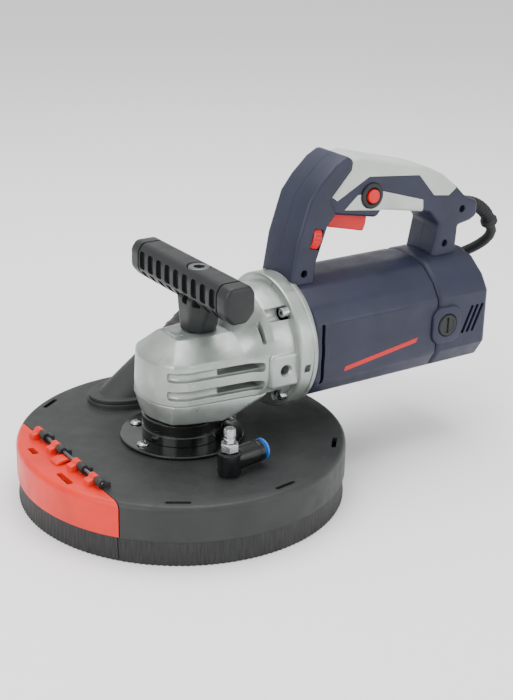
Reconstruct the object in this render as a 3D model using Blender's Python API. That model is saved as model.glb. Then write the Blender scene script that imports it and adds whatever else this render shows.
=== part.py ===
"""Concrete grinder: a dust shroud with a brush skirt, a gear head, a motor and a D-handle.

Lengths are in metres. X runs from the wheel to the motor, Z is up, and the operator's right is +Y.
Heights are written from the floor; the world's origin is the centre of the spindle's nose.
"""

import math

import bmesh
import bpy
from mathutils import Matrix, Vector

# General
GAP = 0.0003
NOSE_HEIGHT = 0.008
FINE = 48
MEDIUM = 32
SMALL = 16
SPIN_START = 0.031

# Dust shroud and its brush
SHROUD_RADIUS = 0.1225
SHROUD_TOP = 0.045
SHROUD_DISH = 0.042
SHROUD_SKIN = 0.0040
SHROUD_HOLE = 0.030
WALL_BOTTOM = 0.018
LIP_HEIGHT = 0.011
BRUSH_THICK = 0.0024
BRUSH_SPREAD = 0.0013
BRUSH_LAND = 0.0013
BRUSH_ROOT = 0.007
RIM_SLOT_ANGLES = (-122, -82, -41, 123)
RIM_SLOT_SIZE = (0.018, 0.0035)

# Hinged edge of the shroud
FLAP_CHORD = 0.095
FLAP_SEAM = 0.0006
FLAP_PIN_RADIUS = 0.0012
FLAP_PIN_CLEAR = 0.0003
KNUCKLE_RADIUS = 0.0030
KNUCKLE_LIFT = 0.0008
KNUCKLE_WIDTH = 0.0072
KNUCKLE_LEG = 0.0068
KNUCKLE_PLACES = (0.045, 0.017, -0.016, -0.042)
TAB_WIDTH = 0.010

# Flange plate and clamp collar
PLATE_RADIUS = 0.046
PLATE_THICK = 0.0024
PLATE_HOLE = 0.020
PLATE_SCREW_CIRCLE = 0.037
PLATE_SCREW_ANGLES = (128, 189, 308, 9)
PLATE_SCREW_RADIUS = 0.0021
PLATE_HEAD = 0.0022
COLLAR_RADIUS = 0.0300
COLLAR_TOP = 0.062
NECK_RADIUS = 0.0245

# Dust port
PORT_RADIUS = 0.0210
PORT_WALL = 0.0025
PORT_FOOT = (0.005, 0.080)
PORT_TILT = 36
PORT_LENGTH = 0.078
PORT_PAD_TOP = 0.047
PORT_FLANGE = 0.003

# Water fitting
FITTING = (-0.008, -0.078)
FITTING_BODY_RADIUS = 0.0083
FITTING_BODY = (0.0452, 0.0620)
FITTING_STEM_RADIUS = 0.0036
FITTING_ARM_HEIGHT = 0.0545
FITTING_ARM_RADIUS = 0.0080
FITTING_ARM_LENGTH = 0.0280
FITTING_ARM_TURN = 8
TUBE_SOCKET_RADIUS = 0.0050
RELEASE_WALL = 0.0012

# Wheel, spindle and gears
WHEEL_RADIUS = 0.090
WHEEL_FLOOR_CLEAR = 0.001
WHEEL_SEAT = 0.018
WHEEL_BORE = 0.0111
SEGMENT_COUNT = 12
SPINDLE_NOSE_RADIUS = 0.0070
SPINDLE_RADIUS = 0.0100
SPINDLE_TOP_RADIUS = 0.0085
SPINDLE_TOP = 0.112
AXIS_HEIGHT = 0.104
RING_TEETH = 32
PINION_TEETH = 9
RING_PITCH_RADIUS = 0.0240
RING_RADIUS = 0.0270
TOOTH_DEPTH = 0.0024
PINION_LENGTH = 0.0065

# Gear head
HEAD_SEAM = 0.080
HEAD_BOTTOM = 0.064
HEAD_SHOULDER = 0.110
HEAD_TOP = 0.124
HEAD_FRONT = 0.034
HEAD_WALL = 0.0055
DRUM_RADIUS = 0.046
DRUM_START = 0.052
RISE_START = 0.030
FLANGE_RADIUS = 0.052
FLANGE_START = 0.070
FLANGE_END = 0.086
GROOVE_HEIGHTS = (0.0875, 0.1015)
GROOVE_WIDTH = 0.0068
GROOVE_DEPTH = 0.0034
AUX_BOSS = (0.060, 0.097)
AUX_HOLE_RADIUS = 0.0036
LOCK_PIN_HEIGHT = 0.0925
LOCK_PIN_RADIUS = 0.0045
LOCK_TIP_RADIUS = 0.0020
LOCK_SOCKETS = 4

# Transverse T-handle
BAR_X = 0.014
BAR_HEIGHT = 0.158
BAR_HALF = (0.0125, 0.0140)
BAR_ENDS = (-0.056, 0.080)
BAR_CHAMFER = 0.0060
STEM_HALF = 0.0135
HANDLE_BOLT_RADIUS = 0.0050
BAR_SLOTS = 9
BAR_SLOT_PITCH = 0.0124

# Motor
MOTOR_START = 0.0863
MOTOR_SEAM = 0.205
MOTOR_END = 0.257
MOTOR_HALF_WIDTH = 0.046
MOTOR_BOTTOM = 0.060
MOTOR_TOP = 0.1525
MOTOR_BORE = 0.0415
STATOR_RADIUS = 0.0412
STATOR_BORE = 0.0240
STATOR_SPAN = (0.126, 0.182)
COIL_OVERHANG = 0.008
ARMATURE_RADIUS = 0.0230
SHAFT_RADIUS = 0.0050
TUNNEL_MARGIN = 0.0022
REAR_VENTS = 3
COMMUTATOR_RADIUS = 0.0130
COMMUTATOR_SPAN = (0.203, 0.223)
FAN_RADIUS = 0.0380
FAN_SPAN = (0.094, 0.108)
FAN_BLADES = 9
BEARING_FRONT = (0.047, 0.058)
BEARING_REAR = (0.240, 0.249)
BRUSH_X = 0.213
BRUSH_HALF = (0.0055, 0.0035)
HOLDER_WALL = 0.0016
BRUSH_CAP_RADIUS = 0.0087
BRUSH_BOSS_HALF = (0.0145, 0.0150)

# D-handle
GRIP_HALF = 0.0175
POST_HALF = 0.0200
SKIN = 0.0022
SHELL_SEAM = 0.0003
PIVOT = (0.1185, 0.2010)
TRIGGER_HALF = 0.0090
LOCK_PLACE = (0.155, 0.209)
LOCK_RADIUS = 0.0053
LOCK_COLLAR_RADIUS = 0.0098
LOCK_PROUD = 0.0040
DIAL_PLACE = (0.1035, 0.1830)
DIAL_RADIUS = 0.0120
DIAL_THICK = 0.0075
DIAL_PROUD = 0.0018
POST_LEAN = 15

# Cable
CORD_RADIUS = 0.00425
BOOT_RADIUS = 0.0060
BOOT_ROUTE = [(0.2540, 0.1842), (0.2652, 0.1842), (0.2740, 0.1822), (0.2830, 0.1775), (0.2905, 0.1705), (0.2945, 0.1625)]
CORD_ROUTE = [
    (0.2949, 0.0000, 0.1617),
    (0.2975, 0.0003, 0.1565),
    (0.2982, 0.0045, 0.1490),
    (0.2952, 0.0115, 0.1415),
    (0.2895, 0.0210, 0.1340),
    (0.2810, 0.0350, 0.1255),
    (0.2715, 0.0540, 0.1160),
    (0.2625, 0.0750, 0.0945),
    (0.2555, 0.0890, 0.0640),
    (0.2480, 0.0975, 0.0340),
    (0.2370, 0.1025, 0.0130),
    (0.2190, 0.1045, 0.0050),
    (0.1980, 0.1050, 0.0048),
    (0.1780, 0.1062, 0.0048),
]
COIL_RADIUS = 0.038
COIL_HALF = 0.013
COIL_CENTRE = (0.160, 0.160)
PLUG_PLACE = (0.2012, 0.1980)
PLUG_RADIUS = 0.017
PLUG_BODY = 0.042
PLUG_TAIL = 0.016
PIN_LENGTH = 0.019
PIN_RADIUS = 0.0024
PIN_SPACING = 0.019

# Colour (sRGB), roughness, metallic
FINISHES = {
    "shroud_plastic": ("4A504E", 0.55, 0.0),
    "bristle": ("1C1D1D", 0.95, 0.0),
    "red_plastic": ("E8442F", 0.42, 0.0),
    "black_steel": ("1A1B1C", 0.30, 0.4),
    "bright_steel": ("B9BCBC", 0.28, 1.0),
    "dark_steel": ("5A5C5E", 0.35, 1.0),
    "cast_aluminium": ("B4BCB6", 0.45, 0.3),
    "navy_plastic": ("3D4152", 0.50, 0.0),
    "grey_plastic": ("CDD3CD", 0.50, 0.0),
    "black_plastic": ("34383A", 0.50, 0.0),
    "black_rubber": ("2A2C2D", 0.75, 0.0),
    "blue_plastic": ("2F7DDA", 0.40, 0.0),
    "brass": ("B99A55", 0.35, 1.0),
    "copper": ("A8623A", 0.40, 1.0),
    "carbon": ("2B2B2D", 0.80, 0.0),
    "diamond_grit": ("6B665C", 0.85, 0.2),
}


def srgb(code):
    """A linear colour from its sRGB hex code."""
    values = [int(code[i : i + 2], 16) / 255 for i in (0, 2, 4)]
    return [v / 12.92 if v <= 0.04045 else ((v + 0.055) / 1.055) ** 2.4 for v in values] + [1.0]


def material(finish, name):
    """A Principled material for one piece."""
    code, roughness, metallic = FINISHES[finish]
    made = bpy.data.materials.new(name)
    made.use_nodes = True
    shader = made.node_tree.nodes["Principled BSDF"]
    shader.inputs["Base Color"].default_value = srgb(code)
    shader.inputs["Roughness"].default_value = roughness
    shader.inputs["Metallic"].default_value = metallic
    made.diffuse_color = srgb(code)
    return made


# Tools for making solids. Each takes and gives places in the floor frame.


def clear_scene():
    for obj in list(bpy.data.objects):
        bpy.data.objects.remove(obj)


def axis_empty(name, place, parent=None):
    """An empty that stands on a joint's axis."""
    empty = bpy.data.objects.new(name, None)
    empty.empty_display_size = 0.01
    bpy.context.scene.collection.objects.link(empty)
    empty.location = place
    empty.parent = parent
    return empty


def solid(name, bm, finish, place=(0, 0, 0), turn=(0, 0, 0)):
    """Turns a bmesh into an object of the grinder."""
    bmesh.ops.recalc_face_normals(bm, faces=bm.faces)
    mesh = bpy.data.meshes.new(name)
    bm.to_mesh(mesh)
    bm.free()
    obj = bpy.data.objects.new(name, mesh)
    bpy.context.scene.collection.objects.link(obj)
    obj.location = place
    obj.rotation_euler = [math.radians(angle) for angle in turn]
    obj.parent = bpy.data.objects["grinder"]
    mesh.materials.append(material(finish, name))
    return obj


def turned(name, profile, finish, place=(0, 0, 0), turn=(0, 0, 0), steps=MEDIUM):
    """A solid of revolution about local Z from a closed profile of (radius, height) points."""
    bm = bmesh.new()
    start = Vector((math.cos(SPIN_START), math.sin(SPIN_START), 0))
    verts = [bm.verts.new((radius * start.x, radius * start.y, height)) for radius, height in profile]
    edges = []
    for first, second in zip(verts, verts[1:] + verts[:1]):
        if first.co.x > 0 or second.co.x > 0:
            edges.append(bm.edges.new((first, second)))
    bmesh.ops.spin(bm, geom=verts + edges, cent=(0, 0, 0), axis=(0, 0, 1), angle=math.tau, steps=steps, use_merge=True)
    bmesh.ops.remove_doubles(bm, verts=bm.verts, dist=1e-7)
    obj = solid(name, bm, finish, place, turn)
    obj.data.shade_smooth()
    obj.data.set_sharp_from_angle(angle=math.radians(35))
    return obj


def disc(name, radius, low, high, finish, place=(0, 0, 0), turn=(0, 0, 0), steps=SMALL):
    """A plain round bar from low to high along local Z."""
    return turned(name, [(0, high), (radius, high), (radius, low), (0, low)], finish, place, turn, steps)


def ring(name, inner, outer, low, high, finish, place=(0, 0, 0), turn=(0, 0, 0), steps=SMALL):
    """A plain ring from low to high along local Z."""
    profile = [(inner, high), (outer, high), (outer, low), (inner, low)]
    return turned(name, profile, finish, place, turn, steps)


def prism(name, outline, axis, low, high, finish):
    """An outline drawn across one world axis and extruded along it."""
    corner = {
        "X": lambda u, v, w: (w, u, v),
        "Y": lambda u, v, w: (u, w, v),
        "Z": lambda u, v, w: (u, v, w),
    }[axis]
    bm = bmesh.new()
    face = bm.faces.new([bm.verts.new(corner(u, v, low)) for u, v in outline])
    extruded = bmesh.ops.extrude_face_region(bm, geom=[face])
    moved = [item for item in extruded["geom"] if isinstance(item, bmesh.types.BMVert)]
    bmesh.ops.translate(bm, verts=moved, vec=corner(0, 0, high - low))
    return solid(name, bm, finish)


def box(name, first, second, finish, place=(0, 0, 0), turn=(0, 0, 0)):
    """A block between two opposite corners, given from its place before it is turned."""
    low = Vector(map(min, first, second))
    high = Vector(map(max, first, second))
    bm = bmesh.new()
    bmesh.ops.create_cube(bm, size=1.0)
    bmesh.ops.scale(bm, verts=bm.verts, vec=high - low)
    bmesh.ops.translate(bm, verts=bm.verts, vec=(high + low) / 2)
    return solid(name, bm, finish, place, turn)


def hull(name, points, finish, place=(0, 0, 0), turn=(0, 0, 0)):
    """The convex solid round a set of points."""
    bm = bmesh.new()
    for point in points:
        bm.verts.new(point)
    result = bmesh.ops.convex_hull(bm, input=bm.verts)
    spare = [item for item in result["geom_interior"] + result["geom_unused"] if isinstance(item, bmesh.types.BMVert)]
    bmesh.ops.delete(bm, geom=list(set(spare)), context="VERTS")
    bmesh.ops.dissolve_limit(bm, angle_limit=math.radians(0.02), verts=bm.verts, edges=bm.edges)
    return solid(name, bm, finish, place, turn)


def boolean(obj, tool, operation):
    """Adds, cuts or keeps a helper solid with a live Boolean, and hides the helper."""
    modifier = obj.modifiers.new(operation.title(), "BOOLEAN")
    modifier.operation = operation
    modifier.object = tool
    modifier.solver = "EXACT"
    tool.hide_render = True
    tool.display_type = "WIRE"
    tool.hide_set(True)


def cut(obj, *tools):
    for tool in tools:
        boolean(obj, tool, "DIFFERENCE")


def add(obj, *tools):
    for tool in tools:
        boolean(obj, tool, "UNION")


def keep(obj, tool):
    boolean(obj, tool, "INTERSECT")


def use_manifold(obj):
    """Switches a piece's Booleans to the Manifold solver, where the exact one leaves it open."""
    for modifier in obj.modifiers:
        if modifier.type == "BOOLEAN":
            modifier.solver = "MANIFOLD"


def bevel(obj, width, segments=2, angle=30):
    modifier = obj.modifiers.new("Bevel", "BEVEL")
    modifier.width = width
    modifier.segments = segments
    modifier.limit_method = "ANGLE"
    modifier.angle_limit = math.radians(angle)
    modifier.use_clamp_overlap = True


def hang(obj, empty):
    """Parents a finished piece to an empty on its joint's axis, without moving the piece."""
    bpy.context.view_layer.update()
    obj.parent = empty
    obj.matrix_parent_inverse = empty.matrix_world.inverted() @ bpy.data.objects["grinder"].matrix_world


def circle(radius, count, start=0.0):
    return [(radius * math.cos(start + i * math.tau / count), radius * math.sin(start + i * math.tau / count)) for i in range(count)]


def polar(radius, degrees):
    return radius * math.cos(math.radians(degrees)), radius * math.sin(math.radians(degrees))


def bar_between(name, start, end, radius, finish, steps=SMALL):
    """A round bar between two places."""
    line = Vector(end) - Vector(start)
    obj = disc(name, radius, 0, line.length, finish, start, steps=steps)
    obj.rotation_euler = line.to_track_quat("Z", "Y").to_euler()
    return obj


# Dust shroud


def shroud_profile():
    """Half section of the whole shroud before the edge is cut off."""
    outer = SHROUD_RADIUS
    groove_out = outer - BRUSH_LAND
    groove_in = groove_out - BRUSH_THICK - 2 * GAP
    inner = groove_in - BRUSH_LAND
    inside = outer - SHROUD_SKIN
    return [
        (SHROUD_HOLE, SHROUD_DISH),
        (PLATE_RADIUS + 0.003, SHROUD_DISH),
        (outer - 0.010, SHROUD_TOP),
        (outer - 0.0035, SHROUD_TOP - 0.0008),
        (outer, SHROUD_TOP - 0.0045),
        (outer, WALL_BOTTOM),
        (groove_out, WALL_BOTTOM),
        (groove_out, WALL_BOTTOM + BRUSH_ROOT),
        (groove_in, WALL_BOTTOM + BRUSH_ROOT),
        (groove_in, WALL_BOTTOM),
        (inner, WALL_BOTTOM),
        (inner, WALL_BOTTOM + LIP_HEIGHT),
        (inside, WALL_BOTTOM + LIP_HEIGHT + 0.003),
        (inside, SHROUD_TOP - SHROUD_SKIN),
        (PLATE_RADIUS + 0.003, SHROUD_DISH - SHROUD_SKIN),
        (SHROUD_HOLE, SHROUD_DISH - SHROUD_SKIN),
    ]


def brush_profile():
    """Half section of the strip of bristles, from its root in the groove to the floor."""
    outer = SHROUD_RADIUS - BRUSH_LAND - GAP
    inner = outer - BRUSH_THICK
    root = WALL_BOTTOM + BRUSH_ROOT - GAP
    return [
        (inner, root),
        (outer, root),
        (outer, WALL_BOTTOM - 0.001),
        (outer + BRUSH_SPREAD, 0.0),
        (inner - BRUSH_SPREAD, 0.0),
        (inner, WALL_BOTTOM - 0.001),
    ]


def edge_side(name, limit):
    """Everything on the flap's side of a line across the shroud."""
    reach = SHROUD_RADIUS + 0.01
    return box(name, (-reach, -reach, -0.01), (limit, reach, SHROUD_TOP + 0.02), "shroud_plastic")


def knuckle(name, place, finish, side):
    """A hinge barrel with its leg on one side of the pin (-1 for the flap, +1 for the shroud)."""
    height = SHROUD_TOP + KNUCKLE_LIFT + KNUCKLE_RADIUS
    count = 9
    first, last = math.radians(-115), math.radians(172)
    arc = [first + (last - first) * i / count for i in range(count + 1)]
    outline = [(KNUCKLE_RADIUS * math.cos(a), KNUCKLE_RADIUS * math.sin(a)) for a in arc]
    foot = -KNUCKLE_LIFT - KNUCKLE_RADIUS - 0.0017
    outline += [(-KNUCKLE_LEG, -0.0004), (-KNUCKLE_LEG, foot), (outline[0][0], foot)]
    outline = [(-FLAP_CHORD - side * u, height + v) for u, v in outline]
    half = KNUCKLE_WIDTH / 2
    return prism(name, outline, "Y", place - half, place + half, finish)


def rim_slots():
    """The narrow slots just inside the shroud's rim."""
    length, width = RIM_SLOT_SIZE
    tools = []
    for angle in RIM_SLOT_ANGLES:
        x, y = polar(SHROUD_RADIUS - 0.0085, angle)
        tools.append(
            box(
                f"rim_slot_{angle}",
                (-width / 2, -length / 2, SHROUD_TOP - 0.0018),
                (width / 2, length / 2, SHROUD_TOP + 0.01),
                "shroud_plastic",
                (x, y, 0),
                (0, 0, angle),
            )
        )
    return tools


def port_line():
    """The dust port's foot and direction."""
    tilt = math.radians(PORT_TILT)
    return Vector((*PORT_FOOT, PORT_PAD_TOP)), Vector((math.cos(tilt), 0, math.sin(tilt)))


def oval(extra, count=28):
    """The outline that the tilted port leaves on a level plane, with a margin."""
    long_half = PORT_RADIUS / math.sin(math.radians(PORT_TILT)) + extra
    short_half = PORT_RADIUS + extra
    x, y = PORT_FOOT
    return [
        (x + long_half * math.cos(i * math.tau / count), y + short_half * math.sin(i * math.tau / count))
        for i in range(count)
    ]


def port_cylinder(name, radius, start, end):
    foot, line = port_line()
    return bar_between(name, foot + line * start, foot + line * end, radius, "shroud_plastic", 28)


def build_shroud():
    pin_height = SHROUD_TOP + KNUCKLE_LIFT + KNUCKLE_RADIUS
    shroud = turned("shroud", shroud_profile(), "shroud_plastic", steps=FINE)
    flap = turned("edge_flap", shroud_profile(), "red_plastic", steps=FINE)
    brush = turned("brush_skirt", brush_profile(), "bristle", steps=FINE)
    flap_brush = turned("flap_brush", brush_profile(), "bristle", steps=FINE)
    flap_side = edge_side("flap_side", -FLAP_CHORD - FLAP_SEAM / 2)
    body_side = edge_side("body_side", -FLAP_CHORD + FLAP_SEAM / 2)
    cut(shroud, body_side)
    cut(brush, body_side)
    keep(flap, flap_side)
    keep(flap_brush, flap_side)

    for number, place in enumerate(KNUCKLE_PLACES, 1):
        mate = place - KNUCKLE_WIDTH - 2 * GAP
        add(flap, knuckle(f"flap_knuckle_{number}", place, "red_plastic", -1))
        add(shroud, knuckle(f"shroud_knuckle_{number}", mate, "shroud_plastic", 1))
    lift = pin_height - SHROUD_TOP
    tab_side = [(-0.011, -0.001), (-0.011, 0.0008), (-0.006, 0.0026), (0.0018, 0.0026), (0.0018, lift - 0.0030), (-0.002, 0.0009)]
    tab_points = [
        (-FLAP_CHORD + along, side * TAB_WIDTH / 2, SHROUD_TOP + up) for along, up in tab_side for side in (-1, 1)
    ]
    tab = hull("tab", tab_points, "red_plastic")
    pin_gap = disc("tab_gap", FLAP_PIN_RADIUS + 0.0006, -TAB_WIDTH, TAB_WIDTH, "red_plastic", (-FLAP_CHORD, 0, pin_height), (90, 0, 0))
    pin_bore = disc("pin_bore", FLAP_PIN_RADIUS + FLAP_PIN_CLEAR, -0.06, 0.06, "red_plastic", (-FLAP_CHORD, 0, pin_height), (90, 0, 0))
    pin_hole = disc("pin_hole", FLAP_PIN_RADIUS + FLAP_PIN_CLEAR, -0.06, 0.06, "red_plastic", (-FLAP_CHORD, 0, pin_height), (90, 0, 0))
    add(flap, tab)
    cut(flap, pin_gap, pin_bore)
    slots = [
        box("flap_slot_far", (-0.1115, 0.020, 0.0435), (-0.1075, 0.031, 0.06), "red_plastic"),
        box("flap_slot_near", (-0.1115, -0.035, 0.0435), (-0.1075, -0.016, 0.06), "red_plastic"),
    ]
    cut(flap, *slots)

    pad = prism("port_pad", oval(0.0050), "Z", SHROUD_DISH - SHROUD_SKIN * 0.6, PORT_PAD_TOP, "shroud_plastic")
    add(shroud, pad)
    cut(shroud, pin_hole, port_cylinder("port_way", PORT_RADIUS - PORT_WALL, -0.045, 0.05), *rim_slots())
    cut(shroud, disc("fitting_thread", FITTING_STEM_RADIUS + GAP, -0.02, 0.02, "shroud_plastic", (*FITTING, SHROUD_TOP)))
    for angle in PLATE_SCREW_ANGLES:
        x, y = polar(PLATE_SCREW_CIRCLE, angle)
        cut(shroud, disc(f"shroud_screw_hole_{angle}", PLATE_SCREW_RADIUS + GAP, -0.02, 0.02, "shroud_plastic", (x, y, SHROUD_DISH), steps=16))

    first = KNUCKLE_PLACES[0] + KNUCKLE_WIDTH / 2 + 0.0015
    last = KNUCKLE_PLACES[-1] - 1.5 * KNUCKLE_WIDTH - 0.0015
    disc("hinge_pin", FLAP_PIN_RADIUS, last, first, "bright_steel", (-FLAP_CHORD, 0, pin_height), (-90, 0, 0), 12)
    hinge = axis_empty("flap_hinge", (-FLAP_CHORD, 0, pin_height), bpy.data.objects["grinder"])
    hang(flap, hinge)
    hang(flap_brush, hinge)


def build_dust_port():
    """A slanted hose spigot on a flat oval foot."""
    seat = PORT_PAD_TOP + GAP
    port = port_cylinder("dust_port", PORT_RADIUS, -0.045, PORT_LENGTH)
    foot = prism("port_foot", oval(0.0040), "Z", seat - 0.002, seat + PORT_FLANGE, "shroud_plastic")
    bead = port_cylinder("port_bead", PORT_RADIUS + 0.0012, PORT_LENGTH - 0.006, PORT_LENGTH - 0.002)
    add(port, foot, bead)
    cut(port, port_cylinder("port_bore", PORT_RADIUS - PORT_WALL, -0.06, PORT_LENGTH + 0.01))
    cut(port, box("port_base_cut", (-0.06, 0.03, -0.01), (0.08, 0.13, seat), "shroud_plastic"))


def build_plate_and_collar():
    plate_top = SHROUD_DISH + GAP + PLATE_THICK
    plate = ring("flange_plate", PLATE_HOLE, PLATE_RADIUS, SHROUD_DISH + GAP, plate_top, "black_steel", steps=40)
    for number, angle in enumerate(PLATE_SCREW_ANGLES, 1):
        x, y = polar(PLATE_SCREW_CIRCLE, angle)
        cut(plate, disc(f"plate_hole_{number}", PLATE_SCREW_RADIUS + GAP, -0.01, 0.01, "black_steel", (x, y, plate_top), steps=12))
        head_low = plate_top + GAP
        screw = [
            (0, head_low + PLATE_HEAD),
            (0.0030, head_low + PLATE_HEAD - 0.0002),
            (0.0044, head_low + 0.0008),
            (0.0046, head_low),
            (PLATE_SCREW_RADIUS, head_low),
            (PLATE_SCREW_RADIUS, SHROUD_DISH - SHROUD_SKIN - 0.001),
            (0, SHROUD_DISH - SHROUD_SKIN - 0.001),
        ]
        turned(f"plate_screw_{number}", screw, "bright_steel", (x, y, 0), steps=12)

    bottom = plate_top + GAP
    collar = turned(
        "clamp_collar",
        [
            (NECK_RADIUS + GAP, COLLAR_TOP),
            (COLLAR_RADIUS - 0.001, COLLAR_TOP),
            (COLLAR_RADIUS, COLLAR_TOP - 0.001),
            (COLLAR_RADIUS, bottom),
            (NECK_RADIUS + GAP, bottom),
        ],
        "black_steel",
        steps=40,
    )
    lug_low = (COLLAR_RADIUS - 0.003, -0.008, bottom + PLATE_HEAD + GAP)
    lugs = box("collar_lugs", lug_low, (COLLAR_RADIUS + 0.011, 0.008, COLLAR_TOP - 0.003), "black_steel")
    slit = box("collar_slit", (NECK_RADIUS - 0.005, -0.0015, 0.03), (COLLAR_RADIUS + 0.02, 0.0015, 0.08), "black_steel")
    middle = (COLLAR_RADIUS + 0.0060, 0, (lug_low[2] + COLLAR_TOP - 0.003) / 2)
    hole = disc("collar_screw_hole", 0.0025 + GAP, -0.02, 0.02, "black_steel", middle, (90, 0, 0), 16)
    add(collar, lugs)
    cut(collar, slit, hole)
    screw = turned(
        "collar_screw",
        [(0, 0.0135), (0.0042, 0.0135), (0.0042, 0.0083), (0.0025, 0.0083), (0.0025, -0.0110), (0, -0.0110)],
        "bright_steel",
        middle,
        (90, 0, 0),
        16,
    )
    cut(screw, disc("collar_screw_socket", 0.0022, 0.0110, 0.02, "bright_steel", middle, (90, 0, 0), 6))


# Water fitting


def build_water_fitting():
    """A banjo elbow: a fixed hollow bolt, a body that swivels on it, a needle and a push-fit socket."""
    x, y = FITTING
    low, high = FITTING_BODY
    reach = FITTING_ARM_LENGTH
    body = turned(
        "elbow_body",
        [
            (0, high),
            (FITTING_BODY_RADIUS - 0.001, high),
            (FITTING_BODY_RADIUS, high - 0.001),
            (FITTING_BODY_RADIUS, low),
            (0, low),
        ],
        "black_plastic",
        (x, y, 0),
        steps=20,
    )
    start = (x, y, FITTING_ARM_HEIGHT)
    along = (0, 90, FITTING_ARM_TURN)
    arm = disc("elbow_arm", FITTING_ARM_RADIUS, 0, reach, "black_plastic", start, along, 24)
    add(body, arm)
    seat_radius = TUBE_SOCKET_RADIUS + RELEASE_WALL + GAP
    socket = turned(
        "elbow_socket",
        [
            (0, reach + 0.010),
            (seat_radius, reach + 0.010),
            (seat_radius, reach - 0.006),
            (TUBE_SOCKET_RADIUS, reach - 0.006),
            (TUBE_SOCKET_RADIUS, FITTING_STEM_RADIUS + 0.002),
            (0, FITTING_STEM_RADIUS + 0.002),
        ],
        "black_plastic",
        start,
        along,
        SMALL,
    )
    stem_hole = disc("elbow_stem_hole", FITTING_STEM_RADIUS + GAP, 0, 0.1, "black_plastic", (x, y, 0), steps=20)
    cut(body, stem_hole, socket)

    hex_low = FITTING_ARM_HEIGHT + FITTING_ARM_RADIUS + GAP
    hex_high = hex_low + 0.0060
    bolt = turned(
        "banjo_bolt",
        [
            (0, hex_high),
            (0.0064, hex_high),
            (0.0064, hex_low),
            (FITTING_STEM_RADIUS, hex_low),
            (FITTING_STEM_RADIUS, SHROUD_DISH - SHROUD_SKIN - 0.002),
            (0, SHROUD_DISH - SHROUD_SKIN - 0.002),
        ],
        "bright_steel",
        (x, y, 0),
        steps=20,
    )
    flats = disc("hex_flats", 0.0068, hex_low - 0.001, hex_high + 0.001, "bright_steel", (x, y, 0), steps=6)
    below = disc("hex_below", 0.0068, 0.0, hex_low + 0.0005, "bright_steel", (x, y, 0), steps=20)
    add(flats, below)
    keep(bolt, flats)
    cut(bolt, disc("needle_bore", 0.0021, 0.050, 0.09, "bright_steel", (x, y, 0), steps=12))

    knob_low = hex_high + GAP
    needle = turned(
        "flow_needle",
        [
            (0, knob_low + 0.0105),
            (0.0036, knob_low + 0.0105),
            (0.0042, knob_low + 0.0098),
            (0.0042, knob_low + 0.0050),
            (0.0034, knob_low + 0.0044),
            (0.0034, knob_low + 0.0034),
            (0.0042, knob_low + 0.0028),
            (0.0042, knob_low),
            (0.0017, knob_low),
            (0.0017, 0.0520),
            (0.0006, 0.0505),
            (0, 0.0505),
        ],
        "bright_steel",
        (x, y, 0),
        steps=14,
    )
    cut(needle, box("needle_slot", (-0.006, -0.0005, knob_low + 0.0092), (0.006, 0.0005, 0.09), "bright_steel", (x, y, 0), (0, 0, 20)))

    release = turned(
        "release_ring",
        [
            (TUBE_SOCKET_RADIUS, reach + 0.0036),
            (FITTING_ARM_RADIUS - 0.0006, reach + 0.0036),
            (FITTING_ARM_RADIUS, reach + 0.0030),
            (FITTING_ARM_RADIUS, reach + 0.0018),
            (TUBE_SOCKET_RADIUS + RELEASE_WALL, reach + 0.0018),
            (TUBE_SOCKET_RADIUS + RELEASE_WALL, reach - 0.0040),
            (TUBE_SOCKET_RADIUS, reach - 0.0040),
        ],
        "blue_plastic",
        start,
        along,
        20,
    )
    swivel = axis_empty("elbow_axis", (x, y, 0), bpy.data.objects["grinder"])
    hang(body, swivel)
    hang(release, swivel)


# Wheel, spindle and gears


def build_wheel():
    """The diamond cup wheel with its two flanges, clamped on the spindle's nose."""
    face = WHEEL_FLOOR_CLEAR
    seat = WHEEL_SEAT
    wheel = turned(
        "cup_wheel",
        [
            (WHEEL_BORE, seat),
            (0.040, seat),
            (0.058, seat - 0.004),
            (WHEEL_RADIUS - 0.006, seat - 0.006),
            (WHEEL_RADIUS - 0.001, seat - 0.008),
            (WHEEL_RADIUS - 0.001, face + 0.0055),
            (WHEEL_RADIUS - 0.022, face + 0.0055),
            (WHEEL_RADIUS - 0.022, seat - 0.0095),
            (0.056, seat - 0.0080),
            (0.039, seat - 0.0040),
            (WHEEL_BORE, seat - 0.0040),
        ],
        "dark_steel",
        steps=40,
    )
    for number in range(SEGMENT_COUNT):
        angle = number * 360 / SEGMENT_COUNT
        half = WHEEL_RADIUS * math.tan(math.pi / SEGMENT_COUNT) * 0.78
        segment = hull(
            f"segment_{number}",
            [
                (radius, side * half * radius / WHEEL_RADIUS, height)
                for radius in (WHEEL_RADIUS - 0.020, WHEEL_RADIUS - 0.0015)
                for side in (-1, 1)
                for height in (face, face + 0.0065)
            ],
            "diamond_grit",
            turn=(0, 0, angle),
        )
        add(wheel, segment)
    inner = turned(
        "inner_flange",
        [
            (SPINDLE_NOSE_RADIUS + GAP, seat + 0.0070),
            (0.0160, seat + 0.0070),
            (0.0225, seat + 0.0045),
            (0.0225, seat + GAP),
            (WHEEL_BORE - GAP, seat + GAP),
            (WHEEL_BORE - GAP, seat - 0.0030),
            (SPINDLE_NOSE_RADIUS + GAP, seat - 0.0030),
        ],
        "bright_steel",
        steps=20,
    )
    nut = ring("clamp_nut", SPINDLE_NOSE_RADIUS + GAP, 0.0200, NOSE_HEIGHT + 0.0010, seat - 0.0040 - GAP, "dark_steel", steps=20)
    for angle in (0, 90, 180, 270):
        x, y = polar(0.0145, angle)
        cut(nut, disc(f"nut_hole_{angle}", 0.0025, -0.01, 0.0115, "dark_steel", (x, y, 0), steps=12))
    return [wheel, inner, nut]


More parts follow.
